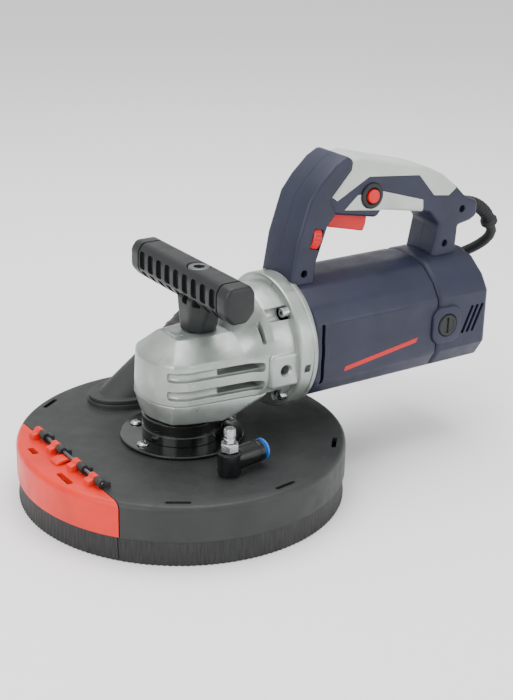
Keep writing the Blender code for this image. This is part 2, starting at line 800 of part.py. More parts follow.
def build_spindle():
    seat = WHEEL_SEAT + 0.0070 + GAP
    spindle = turned(
        "spindle",
        [
            (0, SPINDLE_TOP),
            (SPINDLE_TOP_RADIUS - 0.001, SPINDLE_TOP),
            (SPINDLE_TOP_RADIUS, SPINDLE_TOP - 0.001),
            (SPINDLE_TOP_RADIUS, HEAD_BOTTOM + 0.002),
            (SPINDLE_RADIUS, HEAD_BOTTOM + 0.002),
            (SPINDLE_RADIUS, seat),
            (SPINDLE_NOSE_RADIUS, seat),
            (SPINDLE_NOSE_RADIUS, NOSE_HEIGHT),
            (0, NOSE_HEIGHT),
        ],
        "bright_steel",
        steps=20,
    )
    lower = ring("spindle_bearing_lower", SPINDLE_RADIUS + GAP, NECK_RADIUS - 0.003 - GAP, 0.052, HEAD_BOTTOM, "bright_steel", steps=20)
    top = SPINDLE_TOP - 0.0010
    upper = ring("spindle_bearing_upper", SPINDLE_TOP_RADIUS + GAP, 0.0120, top - 0.009, top, "bright_steel", steps=20)
    root = AXIS_HEIGHT - RING_PITCH_RADIUS * PINION_TEETH / RING_TEETH - TOOTH_DEPTH / 2 - 0.0004
    gear = ring("ring_gear", SPINDLE_TOP_RADIUS + GAP, RING_RADIUS, root - 0.006, root, "dark_steel", steps=40)
    crown = RING_PITCH_RADIUS - PINION_LENGTH / 2
    for number in range(RING_TEETH):
        half = math.pi * RING_PITCH_RADIUS / RING_TEETH * 0.36
        tooth = hull(
            f"ring_tooth_{number}",
            [
                (radius, side * half * share * radius / RING_PITCH_RADIUS, height)
                for radius in (crown, RING_RADIUS - 0.0004)
                for side in (-1, 1)
                for height, share in ((root - 0.0005, 1.0), (root + TOOTH_DEPTH, 0.62))
            ],
            "dark_steel",
            turn=(0, 0, (number + 0.5) * 360 / RING_TEETH),
        )
        add(gear, tooth)
    for number in range(LOCK_SOCKETS):
        turn = (90, 0, number * 360 / LOCK_SOCKETS)
        cut(gear, disc(f"lock_socket_{number}", LOCK_TIP_RADIUS + 2 * GAP, 0.019, 0.04, "dark_steel", (0, 0, LOCK_PIN_HEIGHT), turn, 12))
    return [spindle, gear], [lower, upper]


def build_armature():
    """The motor's turning parts along the motor axis, nose first."""
    place = (0, 0, AXIS_HEIGHT)
    turn = (0, 90, 0)
    nose = RING_PITCH_RADIUS - PINION_LENGTH / 2
    shaft = turned(
        "armature_shaft",
        [
            (0, BEARING_REAR[1] + 0.001),
            (SHAFT_RADIUS, BEARING_REAR[1] + 0.001),
            (SHAFT_RADIUS, nose + PINION_LENGTH + 0.0130),
            (SHAFT_RADIUS - 0.0012, nose + PINION_LENGTH + 0.0130),
            (SHAFT_RADIUS - 0.0012, nose - 0.001),
            (0, nose - 0.001),
        ],
        "bright_steel",
        place,
        turn,
    )
    pitch = RING_PITCH_RADIUS * PINION_TEETH / RING_TEETH
    root = pitch - TOOTH_DEPTH / 2 - 0.0002
    pinion = ring("pinion", SHAFT_RADIUS - 0.0012 + GAP, root, nose, nose + PINION_LENGTH, "dark_steel", place, turn, 24)
    for number in range(PINION_TEETH):
        half = math.pi * pitch / PINION_TEETH * 0.30
        tooth = hull(
            f"pinion_tooth_{number}",
            [
                (along, side * half * share, -radius)
                for along in (nose, nose + PINION_LENGTH)
                for side in (-1, 1)
                for radius, share in ((root - 0.0003, 1.0), (pitch + TOOTH_DEPTH / 2 - 0.0003, 0.5))
            ],
            "dark_steel",
            place,
            (number * 360 / PINION_TEETH, 0, 0),
        )
        add(pinion, tooth)
    core = ring("armature_core", SHAFT_RADIUS + GAP, ARMATURE_RADIUS, STATOR_SPAN[0], STATOR_SPAN[1], "dark_steel", place, turn, 24)
    slots = 12
    for number in range(slots):
        slot_turn = (number * 360 / slots, 0, 0)
        slot_low = (0.10, -0.0011, ARMATURE_RADIUS - 0.004)
        slot = box(f"core_slot_{number}", slot_low, (0.21, 0.0011, 0.03), "dark_steel", place, slot_turn)
        cut(core, slot)
    commutator = ring("commutator", SHAFT_RADIUS + GAP, COMMUTATOR_RADIUS, *COMMUTATOR_SPAN, "copper", place, turn, 24)
    winding = turned(
        "end_winding",
        [
            (SHAFT_RADIUS + 0.001, COMMUTATOR_SPAN[0] - GAP),
            (COMMUTATOR_RADIUS - 0.001, COMMUTATOR_SPAN[0] - GAP),
            (ARMATURE_RADIUS - 0.003, STATOR_SPAN[1] + 0.008),
            (ARMATURE_RADIUS - 0.003, STATOR_SPAN[1] - 0.001),
            (SHAFT_RADIUS + 0.001, STATOR_SPAN[1] - 0.001),
        ],
        "copper",
        place,
        turn,
        36,
    )
    add(core, winding)
    use_manifold(core)
    fan_low, fan_high = FAN_SPAN
    fan = ring("cooling_fan", SHAFT_RADIUS + GAP, 0.0160, fan_low, fan_high, "black_plastic", place, turn, 24)
    add(fan, ring("fan_disc", 0.0120, FAN_RADIUS, fan_high - 0.002, fan_high, "black_plastic", place, turn, MEDIUM))
    for number in range(FAN_BLADES):
        blade_low = (fan_low + 0.0006, -0.0008, 0.0145)
        blade_high = (fan_high - 0.001, 0.0008, FAN_RADIUS - 0.001)
        blade_turn = (number * 360 / FAN_BLADES, 0, 0)
        blade = box(f"fan_blade_{number}", blade_low, blade_high, "black_plastic", place, blade_turn)
        add(fan, blade)
    front = ring("motor_bearing_front", SHAFT_RADIUS + GAP, 0.0150, *BEARING_FRONT, "bright_steel", place, turn, SMALL)
    rear = ring("motor_bearing_rear", SHAFT_RADIUS + GAP, 0.0110, *BEARING_REAR, "bright_steel", place, turn, SMALL)
    axis = axis_empty("armature_axis", place, bpy.data.objects["grinder"])
    for piece in (shaft, pinion, core, commutator, fan):
        hang(piece, axis)
    return front, rear


# Gear head


def head_plan(extra=0.0):
    """The gear head's outline seen from above, from its rear left round the nose."""
    front = HEAD_FRONT + extra
    near = [(0.052, 0.041), (-0.014, 0.0335), (-0.024, 0.0285), (-front + 0.003, 0.0180), (-front, 0.0080)]
    outline = [(x, y + extra) for x, y in near]
    return outline + [(x, -y) for x, y in reversed(outline)]


def groove(name, side, height):
    """A round-ended groove along one side of the gear head."""
    half = GROOVE_WIDTH / 2
    count = 6
    long_half = 0.0335
    points = [
        (long_half - half + half * math.sin(i * math.pi / count), half * math.cos(i * math.pi / count))
        for i in range(count + 1)
    ]
    outline = points + [(-u, -v) for u, v in points]
    tool = prism(name, outline, "Y", 0.0, 0.02, "cast_aluminium")
    slant = math.atan2(0.0075, 0.066)
    depth = 0.0368 - GROOVE_DEPTH
    tool.location = (0.0095, side * depth, height)
    tool.rotation_euler = (0, 0, slant if side > 0 else math.pi - slant)
    return tool


def build_gear_head():
    nose = [(x, y, HEAD_SEAM - 0.01) for x, y in head_plan()]
    nose += [(x, y, HEAD_SHOULDER) for x, y in head_plan(-0.0012)]
    nose += [(x, side * y, HEAD_TOP) for x, y in ((-0.012, 0.014), (0.030, 0.019)) for side in (-1, 1)]
    head = hull("gear_housing", nose, "cast_aluminium")
    rise = [(x, y, AXIS_HEIGHT + z) for x in (DRUM_START, FLANGE_START + 0.008) for y, z in circle(DRUM_RADIUS, 28, SPIN_START)]
    rise += [(RISE_START, side * y, z) for y, z in ((0.017, HEAD_TOP - 0.0005), (0.0362, HEAD_SHOULDER), (0.0362, 0.07)) for side in (-1, 1)]
    add(head, hull("head_rise", rise, "cast_aluminium"))
    bevel(head, 0.0022, 1, 25)
    below = box("head_below", (-0.10, -0.10, 0.0), (0.0615, 0.10, HEAD_SEAM), "cast_aluminium")
    place = (0, 0, AXIS_HEIGHT)
    turn = (0, 90, 0)
    flange = turned(
        "head_flange",
        [
            (0, FLANGE_END),
            (FLANGE_RADIUS - 0.001, FLANGE_END),
            (FLANGE_RADIUS, FLANGE_END - 0.001),
            (FLANGE_RADIUS - 0.0005, FLANGE_START + 0.001),
            (FLANGE_RADIUS - 0.0015, FLANGE_START),
            (0, FLANGE_START),
        ],
        "cast_aluminium",
        place,
        turn,
        48,
    )
    cut(head, below)
    add(head, flange)
    for side in (-1, 1):
        x, z = AUX_BOSS
        pad_low = (x - 0.013, side * 0.034, z - 0.0135)
        pad = box(f"aux_pad_{side}", pad_low, (x + 0.014, side * 0.0475, z + 0.0135), "cast_aluminium")
        bevel(pad, 0.003, 1)
        add(head, pad)
    cut(head, disc("gear_chamber", RING_RADIUS + 0.0015, 0.07, AXIS_HEIGHT + 0.005, "cast_aluminium", steps=40))
    cut(head, disc("pinion_way", 0.0125, 0.0165, BEARING_FRONT[0] + 0.001, "cast_aluminium", place, turn, SMALL))
    cut(head, disc("upper_bearing_seat", 0.0120 + GAP, 0.10, SPINDLE_TOP + 0.0012, "cast_aluminium", steps=20))
    cut(head, disc("front_bearing_seat", 0.0150 + GAP, BEARING_FRONT[0] - GAP, 0.07, "cast_aluminium", place, turn, SMALL))
    cut(head, disc("fan_room", FLANGE_RADIUS - 0.008, 0.064, 0.10, "cast_aluminium", place, turn, MEDIUM))
    for side in (-1, 1):
        for number, height in enumerate(GROOVE_HEIGHTS):
            cut(head, groove(f"groove_{side}_{number}", side, height))
        x, z = AUX_BOSS
        hole = disc(f"aux_hole_{side}", AUX_HOLE_RADIUS, 0.0345, 0.06, "cast_aluminium", (x, 0, z), (-90 * side, 0, 0), 20)
        cut(head, hole)
    cut(head, disc("t_bolt_hole", HANDLE_BOLT_RADIUS + GAP, SPINDLE_TOP + 0.003, 0.14, "cast_aluminium", (BAR_X, 0, 0), steps=20))
    lock_place = (0, 0, LOCK_PIN_HEIGHT)
    cut(head, disc("lock_hole", LOCK_PIN_RADIUS + GAP, 0.0, 0.06, "cast_aluminium", lock_place, (-90, 0, 0), 20))

    use_manifold(head)

    cover_points = [(x if x < 0.01 else 0.014, y, HEAD_BOTTOM) for x, y in head_plan(-0.0035)]
    cover_points += [(min(x, 0.050), y, HEAD_SEAM - GAP) for x, y in head_plan()]
    cover_points += [(0.044, y, 0.0735) for y in (-0.036, 0.036)]
    cover = hull("bearing_cover", cover_points, "cast_aluminium")
    bevel(cover, 0.0016, 1, 25)
    add(cover, disc("cover_neck", NECK_RADIUS, 0.0465, HEAD_BOTTOM + 0.003, "cast_aluminium", steps=40))
    cut(cover, disc("cover_chamber", RING_RADIUS + 0.0015, 0.0690, 0.09, "cast_aluminium", steps=40))
    cut(cover, disc("lower_bearing_seat", NECK_RADIUS - 0.003, 0.0517, 0.075, "cast_aluminium", steps=40))
    cut(cover, disc("cover_hole", SPINDLE_RADIUS + 0.002, 0.04, 0.06, "cast_aluminium", steps=20))

    pin = turned(
        "spindle_lock_pin",
        [
            (0, 0.0465),
            (0.0062, 0.0465),
            (0.0068, 0.0458),
            (0.0068, 0.0425),
            (LOCK_PIN_RADIUS, 0.0425),
            (LOCK_PIN_RADIUS, 0.0345),
            (LOCK_TIP_RADIUS, 0.0345),
            (LOCK_TIP_RADIUS, RING_RADIUS + 0.0012),
            (0, RING_RADIUS + 0.0012),
        ],
        "black_plastic",
        lock_place,
        (-90, 0, 0),
        20,
    )
    return head, cover, pin


def build_t_handle():
    """A moulded cross bar on a stem, bolted to the top of the gear head."""
    wide, tall = BAR_HALF
    chamfer = BAR_CHAMFER

    def section(shrink):
        w, t = wide - shrink, tall - shrink
        side = [(w - chamfer * 0.7, t), (w, t - chamfer), (w, -t + chamfer * 1.3), (w - chamfer * 1.1, -t)]
        outline = side + [(-u, v) for u, v in reversed(side)]
        return [(BAR_X + u, BAR_HEIGHT + v) for u, v in outline]

    near, far = BAR_ENDS
    bar = prism("t_handle", section(0.0), "Y", near, far, "black_plastic")
    bevel(bar, 0.0024, 1, 20)
    for number, (low, high) in enumerate(((near + 0.0115, near + 0.0135), (far - 0.0135, far - 0.0115))):
        frame = box(f"bar_ring_{number}", (BAR_X - 0.05, low, BAR_HEIGHT - 0.05), (BAR_X + 0.05, high, BAR_HEIGHT + 0.05), "black_plastic")
        cut(frame, prism(f"bar_ring_core_{number}", section(0.0008), "Y", near, far, "black_plastic"))
        cut(bar, frame)
    half = STEM_HALF
    base = HEAD_TOP + GAP
    stem = hull(
        "t_stem",
        [
            (BAR_X + half * wide_x * math.cos(a) / math.cos(math.pi / 8), half * wide_y * math.sin(a) / math.cos(math.pi / 8), z)
            for z, wide_x, wide_y in ((base, 0.95, 0.95), (base + 0.008, 0.90, 0.95), (BAR_HEIGHT - tall + 0.006, 0.92, 1.75))
            for a in (math.pi / 8 + i * math.pi / 4 for i in range(8))
        ],
        "black_plastic",
    )
    add(bar, stem)
    middle = (near + far) / 2
    for side in (-1, 1):
        for number in range(BAR_SLOTS):
            y = middle + (number - (BAR_SLOTS - 1) / 2) * BAR_SLOT_PITCH
            face = BAR_X + side * wide
            slot_low = (face - side * 0.0028, y - 0.0036, BAR_HEIGHT - 0.0035)
            slot_high = (face + side * 0.01, y + 0.0036, BAR_HEIGHT + 0.0078)
            cut(bar, box(f"bar_slot_{side}_{number}", slot_low, slot_high, "black_plastic"))
    cut(bar, disc("t_bolt_way", HANDLE_BOLT_RADIUS + GAP, 0.1, 0.2, "black_plastic", (BAR_X, 0, 0), steps=20))
    head_seat = BAR_HEIGHT + tall - 0.0070
    cut(bar, disc("t_bolt_sink", 0.0090, head_seat, 0.2, "black_plastic", (BAR_X, 0, 0), steps=20))
    bolt = turned(
        "t_handle_bolt",
        [
            (0, head_seat + GAP + 0.0062),
            (0.0078, head_seat + GAP + 0.0062),
            (0.0085, head_seat + GAP + 0.0055),
            (0.0085, head_seat + GAP),
            (HANDLE_BOLT_RADIUS, head_seat + GAP),
            (HANDLE_BOLT_RADIUS, SPINDLE_TOP + 0.004),
            (0, SPINDLE_TOP + 0.004),
        ],
        "dark_steel",
        (BAR_X, 0, 0),
        steps=20,
    )
    cut(bolt, disc("t_bolt_socket", 0.0046, head_seat + 0.003, 0.2, "dark_steel", (BAR_X, 0, 0), steps=6))


# Motor


def motor_section(shrink=0.0):
    """Half of the faceted motor housing's section, mirrored to the far side."""
    wide = MOTOR_HALF_WIDTH - shrink
    top = MOTOR_TOP - shrink
    bottom = MOTOR_BOTTOM + shrink
    side = [
        (0.010, top),
        (0.024, top - 0.0040),
        (0.038, top - 0.0150),
        (wide, top - 0.0270),
        (wide, bottom + 0.0220),
        (0.038, bottom + 0.0090),
        (0.021, bottom),
    ]
    return side + [(-y, z) for y, z in reversed(side)]


def brush_boss(name, start, end, grow=0.0):
    """The rounded square boss round a brush cap, on the side where start and end are."""
    wide, tall = (half + grow for half in BRUSH_BOSS_HALF)
    corner = (BRUSH_X - wide, start, AXIS_HEIGHT - tall)
    block = box(name, corner, (BRUSH_X + wide, end, AXIS_HEIGHT + tall), "navy_plastic")
    bevel(block, 0.0035, 1)
    return block


def build_motor():
    place = (0, 0, AXIS_HEIGHT)
    turn = (0, 90, 0)
    housing = prism("motor_housing", motor_section(), "X", MOTOR_START, MOTOR_SEAM - GAP, "navy_plastic")
    bevel(housing, 0.0016, 1, 25)
    cut(housing, disc("motor_room", MOTOR_BORE, 0.08, 0.22, "navy_plastic", place, turn, 40))
    for side in (-1, 1):
        vent_low = (MOTOR_START + 0.0062, side * 0.030, AXIS_HEIGHT - 0.026)
        vent_high = (MOTOR_START + 0.0092, side * 0.060, AXIS_HEIGHT + 0.022)
        cut(housing, box(f"front_vent_{side}", vent_low, vent_high, "navy_plastic"))
        cut(housing, brush_boss(f"boss_room_{side}", side * 0.030, side * 0.060, GAP))

    cover = prism("rear_cover", motor_section(), "X", MOTOR_SEAM, MOTOR_END, "navy_plastic")
    bevel(cover, 0.0050, 2, 50)
    for side in (-1, 1):
        add(cover, brush_boss(f"boss_{side}", side * 0.036, side * 0.0485))
    cut(cover, disc("cover_room", MOTOR_BORE, 0.19, MOTOR_END - 0.004, "navy_plastic", place, turn, 40))
    cup = turned(
        "rear_bearing_cup",
        [
            (0, MOTOR_END - 0.002),
            (0.0135, MOTOR_END - 0.002),
            (0.0135, BEARING_REAR[0]),
            (0.0110 + GAP, BEARING_REAR[0]),
            (0.0110 + GAP, BEARING_REAR[1] + 0.002),
            (0, BEARING_REAR[1] + 0.002),
        ],
        "navy_plastic",
        place,
        turn,
        SMALL,
    )
    add(cover, cup)
    for side in (-1, 1):
        y_turn = (-90 * side, 0, 0)
        centre = (BRUSH_X, 0, AXIS_HEIGHT)
        cut(cover, disc(f"cap_room_{side}", BRUSH_CAP_RADIUS + GAP, 0.0440, 0.06, "navy_plastic", centre, y_turn, 32))
        wide, tall = (half + TUNNEL_MARGIN for half in BRUSH_HALF)
        tunnel_low = (BRUSH_X - wide, side * 0.030, AXIS_HEIGHT - tall)
        tunnel_high = (BRUSH_X + wide, side * 0.050, AXIS_HEIGHT + tall)
        cut(cover, box(f"tunnel_{side}", tunnel_low, tunnel_high, "navy_plastic"))
        for number in range(REAR_VENTS):
            vent = box(
                f"rear_vent_{side}_{number}",
                (-0.0014, -0.02, -0.0120),
                (0.0014, 0.02, 0.0120),
                "navy_plastic",
                (0.2355 + number * 0.0052, side * 0.045, AXIS_HEIGHT),
                (0, 24, 0),
            )
            cut(cover, vent)

    stator = ring("stator_core", STATOR_BORE, STATOR_RADIUS, *STATOR_SPAN, "dark_steel", place, turn, MEDIUM)
    for side, name in ((1, "stator_coil_top"), (-1, "stator_coil_bottom")):
        window = field_coil(name + "_window", side, 0.0, GAP)
        cut(stator, window)
        field_coil(name, side, COIL_OVERHANG, 0.0)
    for side, name in ((-1, "near"), (1, "far")):
        y_turn = (-90 * side, 0, 0)
        centre = (BRUSH_X, 0, AXIS_HEIGHT)
        cap = turned(
            f"brush_cap_{name}",
            [
                (0, 0.0492),
                (BRUSH_CAP_RADIUS - 0.0008, 0.0492),
                (BRUSH_CAP_RADIUS, 0.0485),
                (BRUSH_CAP_RADIUS, 0.0440 + GAP),
                (0, 0.0440 + GAP),
            ],
            "black_plastic",
            centre,
            y_turn,
            32,
        )
        cut(cap, box(f"cap_slot_{name}", (-0.0011, -0.0065, 0.0475), (0.0011, 0.0065, 0.06), "black_plastic", centre, y_turn))
        wide, tall = BRUSH_HALF
        wall = HOLDER_WALL
        tube_low = (BRUSH_X - wide - wall, side * 0.0170, AXIS_HEIGHT - tall - wall)
        tube_high = (BRUSH_X + wide + wall, side * 0.0435, AXIS_HEIGHT + tall + wall)
        bore_low = (BRUSH_X - wide - GAP, 0, AXIS_HEIGHT - tall - GAP)
        bore_high = (BRUSH_X + wide + GAP, side * 0.06, AXIS_HEIGHT + tall + GAP)
        tube = box(f"brush_holder_{name}", tube_low, tube_high, "brass")
        cut(tube, box(f"holder_bore_{name}", bore_low, bore_high, "brass"))
        brush_low = (BRUSH_X - wide, side * (COMMUTATOR_RADIUS + 2 * GAP), AXIS_HEIGHT - tall)
        brush_high = (BRUSH_X + wide, side * 0.034, AXIS_HEIGHT + tall)
        box(f"carbon_brush_{name}", brush_low, brush_high, "carbon")


def field_coil(name, side, overhang, grow):
    """A saddle coil that lies in the stator above or below the armature."""
    low, high = STATOR_SPAN
    inner = STATOR_BORE + 0.0006 - grow
    outer = STATOR_BORE + 0.0090 + grow
    count = 12
    spread = math.radians(58) + grow / inner
    arc = [-spread + 2 * spread * i / count for i in range(count + 1)]
    outline = [(outer * math.sin(a), AXIS_HEIGHT + side * outer * math.cos(a)) for a in arc]
    outline += [(inner * math.sin(a), AXIS_HEIGHT + side * inner * math.cos(a)) for a in reversed(arc)]
    return prism(name, outline, "X", low - max(overhang, 0.001), high + max(overhang, 0.001), "copper")


# D-handle


FRONT_BLOCK = [
    (0.0790, 0.1400),
    (0.0862, 0.1820),
    (0.0965, 0.2130),
    (0.1060, 0.2250),
    (0.1190, 0.2370),
    (0.1290, 0.2425),
    (0.1345, 0.2400),
    (0.1330, 0.2320),
    (0.1150, 0.2120),
    (0.1220, 0.2000),
    (0.1140, 0.1910),
    (0.1040, 0.1630),
    (0.1030, 0.1400),
]

GRIP_LINE = [
    (0.1000, 0.2080),
    (0.1190, 0.2365),
    (0.1450, 0.2400),
    (0.2100, 0.2240),
    (0.2260, 0.2165),
    (0.2400, 0.2060),
    (0.2500, 0.1965),
    (0.2640, 0.1905),
    (0.2640, 0.1780),
    (0.2570, 0.1745),
    (0.2450, 0.1725),
    (0.2430, 0.1400),
    (0.2175, 0.1400),
    (0.2245, 0.1760),
    (0.2140, 0.1870),
    (0.2060, 0.1890),
    (0.1660, 0.1960),
    (0.1620, 0.1905),
    (0.1180, 0.1990),
    (0.1060, 0.2000),
]

HANDLE_ROOM = [
    (0.0900, 0.1640),
    (0.1000, 0.2080),
    (0.1180, 0.2280),
    (0.1440, 0.2340),
    (0.2080, 0.2185),
    (0.2240, 0.2110),
    (0.2400, 0.1980),
    (0.2400, 0.1900),
    (0.2380, 0.1640),
    (0.2270, 0.1640),
    (0.2290, 0.1800),
    (0.2160, 0.1925),
    (0.1680, 0.2010),
    (0.1200, 0.2045),
    (0.1080, 0.1980),
    (0.1000, 0.1640),
]

TOP_GRIP_LINE = [
    (0.1365, 0.2600),
    (0.1365, 0.2400),
    (0.1350, 0.2310),
    (0.1180, 0.2125),
    (0.1230, 0.2090),
    (0.1520, 0.2240),
    (0.2010, 0.2190),
    (0.2170, 0.2010),
    (0.2320, 0.1990),
    (0.2390, 0.2040),
    (0.2600, 0.2200),
    (0.2600, 0.2600),
]

LOWER_GRIP_LINE = [
    (0.1300, 0.2010),
    (0.1420, 0.2110),
    (0.1660, 0.2110),
    (0.2060, 0.1990),
    (0.2070, 0.1850),
    (0.1672, 0.1850),
    (0.1672, 0.1952),
    (0.1630, 0.1965),
]


def shrunk(outline, amount):
    """An outline moved inwards by an amount, for the core under a cover."""
    count = len(outline)
    area = sum(outline[i - 1][0] * outline[i][1] - outline[i][0] * outline[i - 1][1] for i in range(count))
    sign = 1 if area > 0 else -1
    moved = []
    for i in range(count):
        before = (Vector(outline[i]) - Vector(outline[i - 1])).normalized()
        after = (Vector(outline[(i + 1) % count]) - Vector(outline[i])).normalized()
        inward = Vector((-before.y - after.y, before.x + after.x)) * sign
        scale = amount / max(0.35, 1 + before.dot(after))
        moved.append(tuple(Vector(outline[i]) + inward * scale))
    return moved


def handle_body(name, finish):
    """The whole D-handle as one solid, seated on the round parts below it."""
    body = prism(name, GRIP_LINE, "Y", -GRIP_HALF, GRIP_HALF, finish)
    bevel(body, 0.0060, 3, 40)
    return body


def front_block(name):
    block = prism(name, FRONT_BLOCK, "Y", -POST_HALF, POST_HALF, "navy_plastic")
    bevel(block, 0.0045, 2, 40)
    return block


def grip_core(name, grow):
    """What lies under the two light covers."""
    return prism(name, shrunk(GRIP_LINE, SKIN - grow), "Y", -GRIP_HALF + SKIN - grow, GRIP_HALF - SKIN + grow, "navy_plastic")


def cover_region(name, outline, grow):
    return prism(name, shrunk(outline, -grow) if grow else outline, "Y", -0.05, 0.05, "grey_plastic")


def build_handle():
    place = (0, 0, AXIS_HEIGHT)
    turn = (0, 90, 0)
    dial_y = -POST_HALF - DIAL_PROUD + DIAL_RADIUS
    dial_place = (DIAL_PLACE[0], dial_y, DIAL_PLACE[1])
    lock_x, lock_z = LOCK_PLACE

    covers = []
    for name, outline in (("top_grip", TOP_GRIP_LINE), ("lower_grip", LOWER_GRIP_LINE)):
        cover = handle_body(name, "grey_plastic")
        keep(cover, cover_region(name + "_region", outline, 0.0))
        cut(cover, grip_core(name + "_core", GAP), front_block(name + "_front"))
        covers.append(cover)
    lock_way = disc("lock_way", LOCK_COLLAR_RADIUS + GAP, 0.010, 0.03, "grey_plastic", (lock_x, 0, lock_z), (90, 0, 0), 32)
    cut(covers[1], lock_way)
    lip = box("trigger_way_grey", (0.1190, -TRIGGER_HALF - 0.0006, 0.17), (0.1600, TRIGGER_HALF + 0.0006, 0.2025), "grey_plastic")
    cut(covers[1], lip)

    for side, name in ((-1, "handle_shell_left"), (1, "handle_shell_right")):
        shell = handle_body(name, "navy_plastic")
        add(shell, front_block(name + "_front"))
        half = box(name + "_half", (-0.1, side * SHELL_SEAM / 2, 0.0), (0.4, side * 0.1, 0.4), "navy_plastic")
        keep(shell, half)
        for label, outline in (("top", TOP_GRIP_LINE), ("low", LOWER_GRIP_LINE)):
            recess = cover_region(f"{name}_{label}", outline, GAP)
            cut(recess, grip_core(f"{name}_{label}_core", 0.0), front_block(f"{name}_{label}_block"))
            cut(shell, recess)
        cut(shell, prism(name + "_room", HANDLE_ROOM, "Y", -GRIP_HALF + 0.0048, GRIP_HALF - 0.0048, "navy_plastic"))
        cut(shell, disc(name + "_flange_seat", FLANGE_RADIUS + GAP, 0.06, MOTOR_START - 0.0001, "navy_plastic", place, turn, 40))
        seat = prism(name + "_motor_seat", motor_section(-GAP), "X", MOTOR_START - 0.0002, MOTOR_END + 0.01, "navy_plastic")
        cut(shell, seat)
        cut(shell, box(name + "_trigger_way", (0.1190, -TRIGGER_HALF - 0.0006, 0.17), (0.1600, TRIGGER_HALF + 0.0006, 0.2080), "navy_plastic"))
        cut(shell, disc(name + "_boot_way", BOOT_RADIUS + GAP, -0.001, 0.04, "navy_plastic", (0.2655, 0, 0.1842), (0, -90, 0), 24))
        if side < 0:
            cut(shell, disc("lock_hole_left", LOCK_COLLAR_RADIUS + GAP, 0.010, 0.03, "navy_plastic", (lock_x, 0, lock_z), (90, 0, 0), 32))
        half_room = DIAL_THICK / 2 + 0.0005
        dial_room = disc(
            name + "_dial_room", DIAL_RADIUS + 0.0008, -half_room, half_room, "navy_plastic", dial_place, (0, 90 + POST_LEAN, 0), 32
        )
        cut(shell, dial_room)

    collar = ring("lock_collar", LOCK_RADIUS + GAP, LOCK_COLLAR_RADIUS, 0.0132, GRIP_HALF + 0.0022, "black_plastic", (lock_x, 0, lock_z), (90, 0, 0), 32)
    button = turned(
        "lock_button",
        [
            (0, GRIP_HALF + LOCK_PROUD),
            (LOCK_RADIUS - 0.0008, GRIP_HALF + LOCK_PROUD),
            (LOCK_RADIUS, GRIP_HALF + LOCK_PROUD - 0.0008),
            (LOCK_RADIUS, 0.0120),
            (0.0022, 0.0120),
            (0.0022, 0.0060),
            (0, 0.0060),
        ],
        "red_plastic",
        (lock_x, 0, lock_z),
        (90, 0, 0),
        24,
    )
    pivot = axis_empty("trigger_pivot", (PIVOT[0], 0, PIVOT[1]), bpy.data.objects["grinder"])
    trigger = prism(
        "trigger",
        [(0.1215, 0.1870), (0.1225, 0.2010), (0.1245, 0.2020), (0.1585, 0.1960), (0.1575, 0.1850), (0.1552, 0.1790)],
        "Y",
        -TRIGGER_HALF,
        TRIGGER_HALF,
        "red_plastic",
    )
    bevel(trigger, 0.0010, 2)
    hang(trigger, pivot)

    dial = disc("speed_dial", DIAL_RADIUS, -DIAL_THICK / 2, DIAL_THICK / 2, "red_plastic", dial_place, (0, 90 + POST_LEAN, 0), 24)
    bevel(dial, 0.0007, 1)
    switch = box("switch_module", (0.1260, -0.0105, 0.2115), (0.1480, 0.0105, 0.2280), "black_plastic")
    bevel(switch, 0.0010, 1)


def build_cable():
    boot_curve = bpy.data.curves.new("cable_boot", "CURVE")
    boot_curve.dimensions = "3D"
    boot_curve.bevel_depth = 1.0
    boot_curve.bevel_resolution = 4
    boot_curve.use_fill_caps = True
    boot_points = smooth([(x, 0.0, z) for x, z in BOOT_ROUTE], 16)
    fill_curve(boot_curve, boot_points)
    for number, point in enumerate(boot_curve.splines[0].points):
        share = number / (len(boot_points) - 1)
        point.radius = BOOT_RADIUS - 0.0006 * share
        if share > 0.9:
            point.radius = BOOT_RADIUS + 0.0010
    add_curve("cable_boot", boot_curve, "black_rubber")

    cord = bpy.data.curves.new("cord_tube", "CURVE")
    cord.dimensions = "3D"
    cord.bevel_depth = CORD_RADIUS
    cord.bevel_resolution = 2
    cord.use_fill_caps = True
    fill_curve(cord, smooth(CORD_ROUTE, 28))
    add_curve("cord_tube", cord, "black_rubber")

    inner = COIL_RADIUS - COIL_HALF
    outer = COIL_RADIUS + COIL_HALF
    top = 2 * COIL_HALF
    turned(
        "cord_coil",
        [
            (inner + 0.003, top),
            (outer - 0.003, top),
            (outer, top - 0.003),
            (outer, 0.0),
            (inner, 0.0),
            (inner, top - 0.003),
        ],
        "black_rubber",
        (*COIL_CENTRE, 0),
    )
    start, y = PLUG_PLACE
    tail = start + PLUG_TAIL
    plug = turned(
        "plug",
        [
            (0, start + 0.0),
            (0.0055, start + 0.0),
            (0.0065, tail),
            (PLUG_RADIUS * 0.8, tail + 0.004),
            (PLUG_RADIUS, tail + 0.012),
            (PLUG_RADIUS, tail + PLUG_BODY),
            (0, tail + PLUG_BODY),
        ][::-1],
        "black_rubber",
        (0, y, PLUG_RADIUS),
        (0, 90, 0),
        32,
    )
    for side in (-1, 1):
        pin_start = (tail + PLUG_BODY - 0.002, y + side * PIN_SPACING / 2, PLUG_RADIUS)
        pin_end = (tail + PLUG_BODY + PIN_LENGTH, y + side * PIN_SPACING / 2, PLUG_RADIUS)
        add(plug, bar_between(f"plug_pin_{side}", pin_start, pin_end, PIN_RADIUS, "bright_steel", 16))


